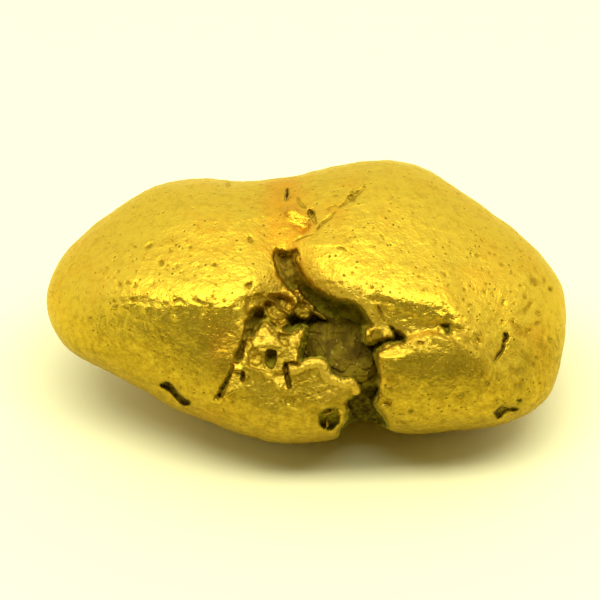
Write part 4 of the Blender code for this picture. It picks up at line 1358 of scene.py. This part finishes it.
def aimed(name, data, middle, way, distance):
    """An object at a distance along a way from a middle, looking back at it."""
    obj = bpy.data.objects.new(name, data)
    obj.location = middle + way * distance
    obj.rotation_euler = way.to_track_quat("Z", "Y").to_euler()
    bpy.context.scene.collection.objects.link(obj)
    return obj


def top_lamp(power):
    """A long soft lamp overhead, a little to the front."""
    light = bpy.data.lights.new("top_lamp", "AREA")
    light.shape = "RECTANGLE"
    light.size, light.size_y = LAMP_SIZE
    light.energy = power
    light.color = LAMP_COLOUR
    obj = aimed("top_lamp", light, Vector(), front_way(LAMP_HEIGHT), LAMP_DISTANCE)
    obj.visible_camera = False


def room_light(look):
    """Light from all round: dim low down in front, and bright overhead and behind. How dim it is
    goes by the cosine of the angle off the middle of the dim part."""
    world = bpy.data.worlds.new("room")
    world.use_nodes = True
    way = Wire(world.node_tree).node("ShaderNodeTexCoord")
    toward_dim = way.node("ShaderNodeVectorMath", {"operation": "DOT_PRODUCT"},
                          {0: way, 1: front_way(DIM_HEIGHT)}, output="Value")
    dim = toward_dim.between(*DIM_EDGES)
    background = world.node_tree.nodes["Background"]
    connect(background, "Color", dim.mix(look.bright_colour, look.dim_colour))
    connect(background, "Strength", look.room - dim * (look.room - look.room_dim))
    return world


def picture_camera(distance):
    """A camera square on to the broad face, with its picture's middle at the frame's shift."""
    data = bpy.data.cameras.new("camera")
    data.sensor_width = SENSOR
    data.lens = SENSOR * distance / (FRAME_WIDTH * MM)
    data.clip_start = NEAREST
    upward = Vector((0.0, math.sin(LEAN), math.cos(LEAN)))
    middle = Vector((0.0, CENTRE_BACK * MM, CENTRE_HEIGHT * MM))
    shift = Vector((FRAME_SHIFT[0] * MM, 0.0, 0.0)) + upward * FRAME_SHIFT[1] * MM
    return aimed("camera", data, middle + shift, front_way(LEAN), distance)


class NUGGET_OT_stage(bpy.types.Operator):
    """Makes the table, the lamp, the room light and the camera."""

    bl_idname = "nugget.stage"
    bl_label = "Table, lights and camera"

    def execute(self, context):
        look = context.scene.nugget_stage
        side = look.table_size / 2
        mesh = bpy.data.meshes.new("table")
        mesh.from_pydata([(-side, -side, 0), (side, -side, 0), (side, side, 0), (-side, side, 0)],
                         [], [(0, 1, 2, 3)])
        mesh.materials.append(table_material(look.table))
        new_object(mesh)
        top_lamp(look.top_power)
        context.scene.world = room_light(look)
        context.scene.camera = picture_camera(look.distance)
        context.scene.view_settings.view_transform = "Standard"
        return {"FINISHED"}


class NUGGET_PT_panel(bpy.types.Panel):
    """Lists the nugget's settings and the operators that make it."""

    bl_label = "Gold nugget"
    bl_idname = "NUGGET_PT_panel"
    bl_space_type = "VIEW_3D"
    bl_region_type = "UI"
    bl_category = "Nugget"

    def draw(self, context):
        scene = context.scene
        for group in (scene.nugget_shape, scene.nugget_colours, scene.nugget_stage):
            box = self.layout.box()
            for name in group.__annotations__:
                box.prop(group, name)
        for operator in OPERATORS:
            self.layout.operator(operator.bl_idname)


OPERATORS = (NUGGET_OT_stage, NUGGET_OT_gold_body, NUGGET_OT_quartz)
GROUPS = {"nugget_shape": NuggetShape, "nugget_colours": NuggetColours, "nugget_stage": StageLook}
CLASSES = (*GROUPS.values(), *OPERATORS, NUGGET_PT_panel)


def register():
    """Makes the classes and the scene's settings known to Blender."""
    for cls in CLASSES:
        bpy.utils.register_class(cls)
    for name, group in GROUPS.items():
        setattr(bpy.types.Scene, name, bpy.props.PointerProperty(type=group))


def unregister():
    """Takes them away again."""
    for name in GROUPS:
        delattr(bpy.types.Scene, name)
    for cls in reversed(CLASSES):
        bpy.utils.unregister_class(cls)


def main():
    register()
    bpy.ops.nugget.stage()
    bpy.ops.nugget.gold_body()
    bpy.ops.nugget.quartz()


if __name__ == "__main__":
    main()
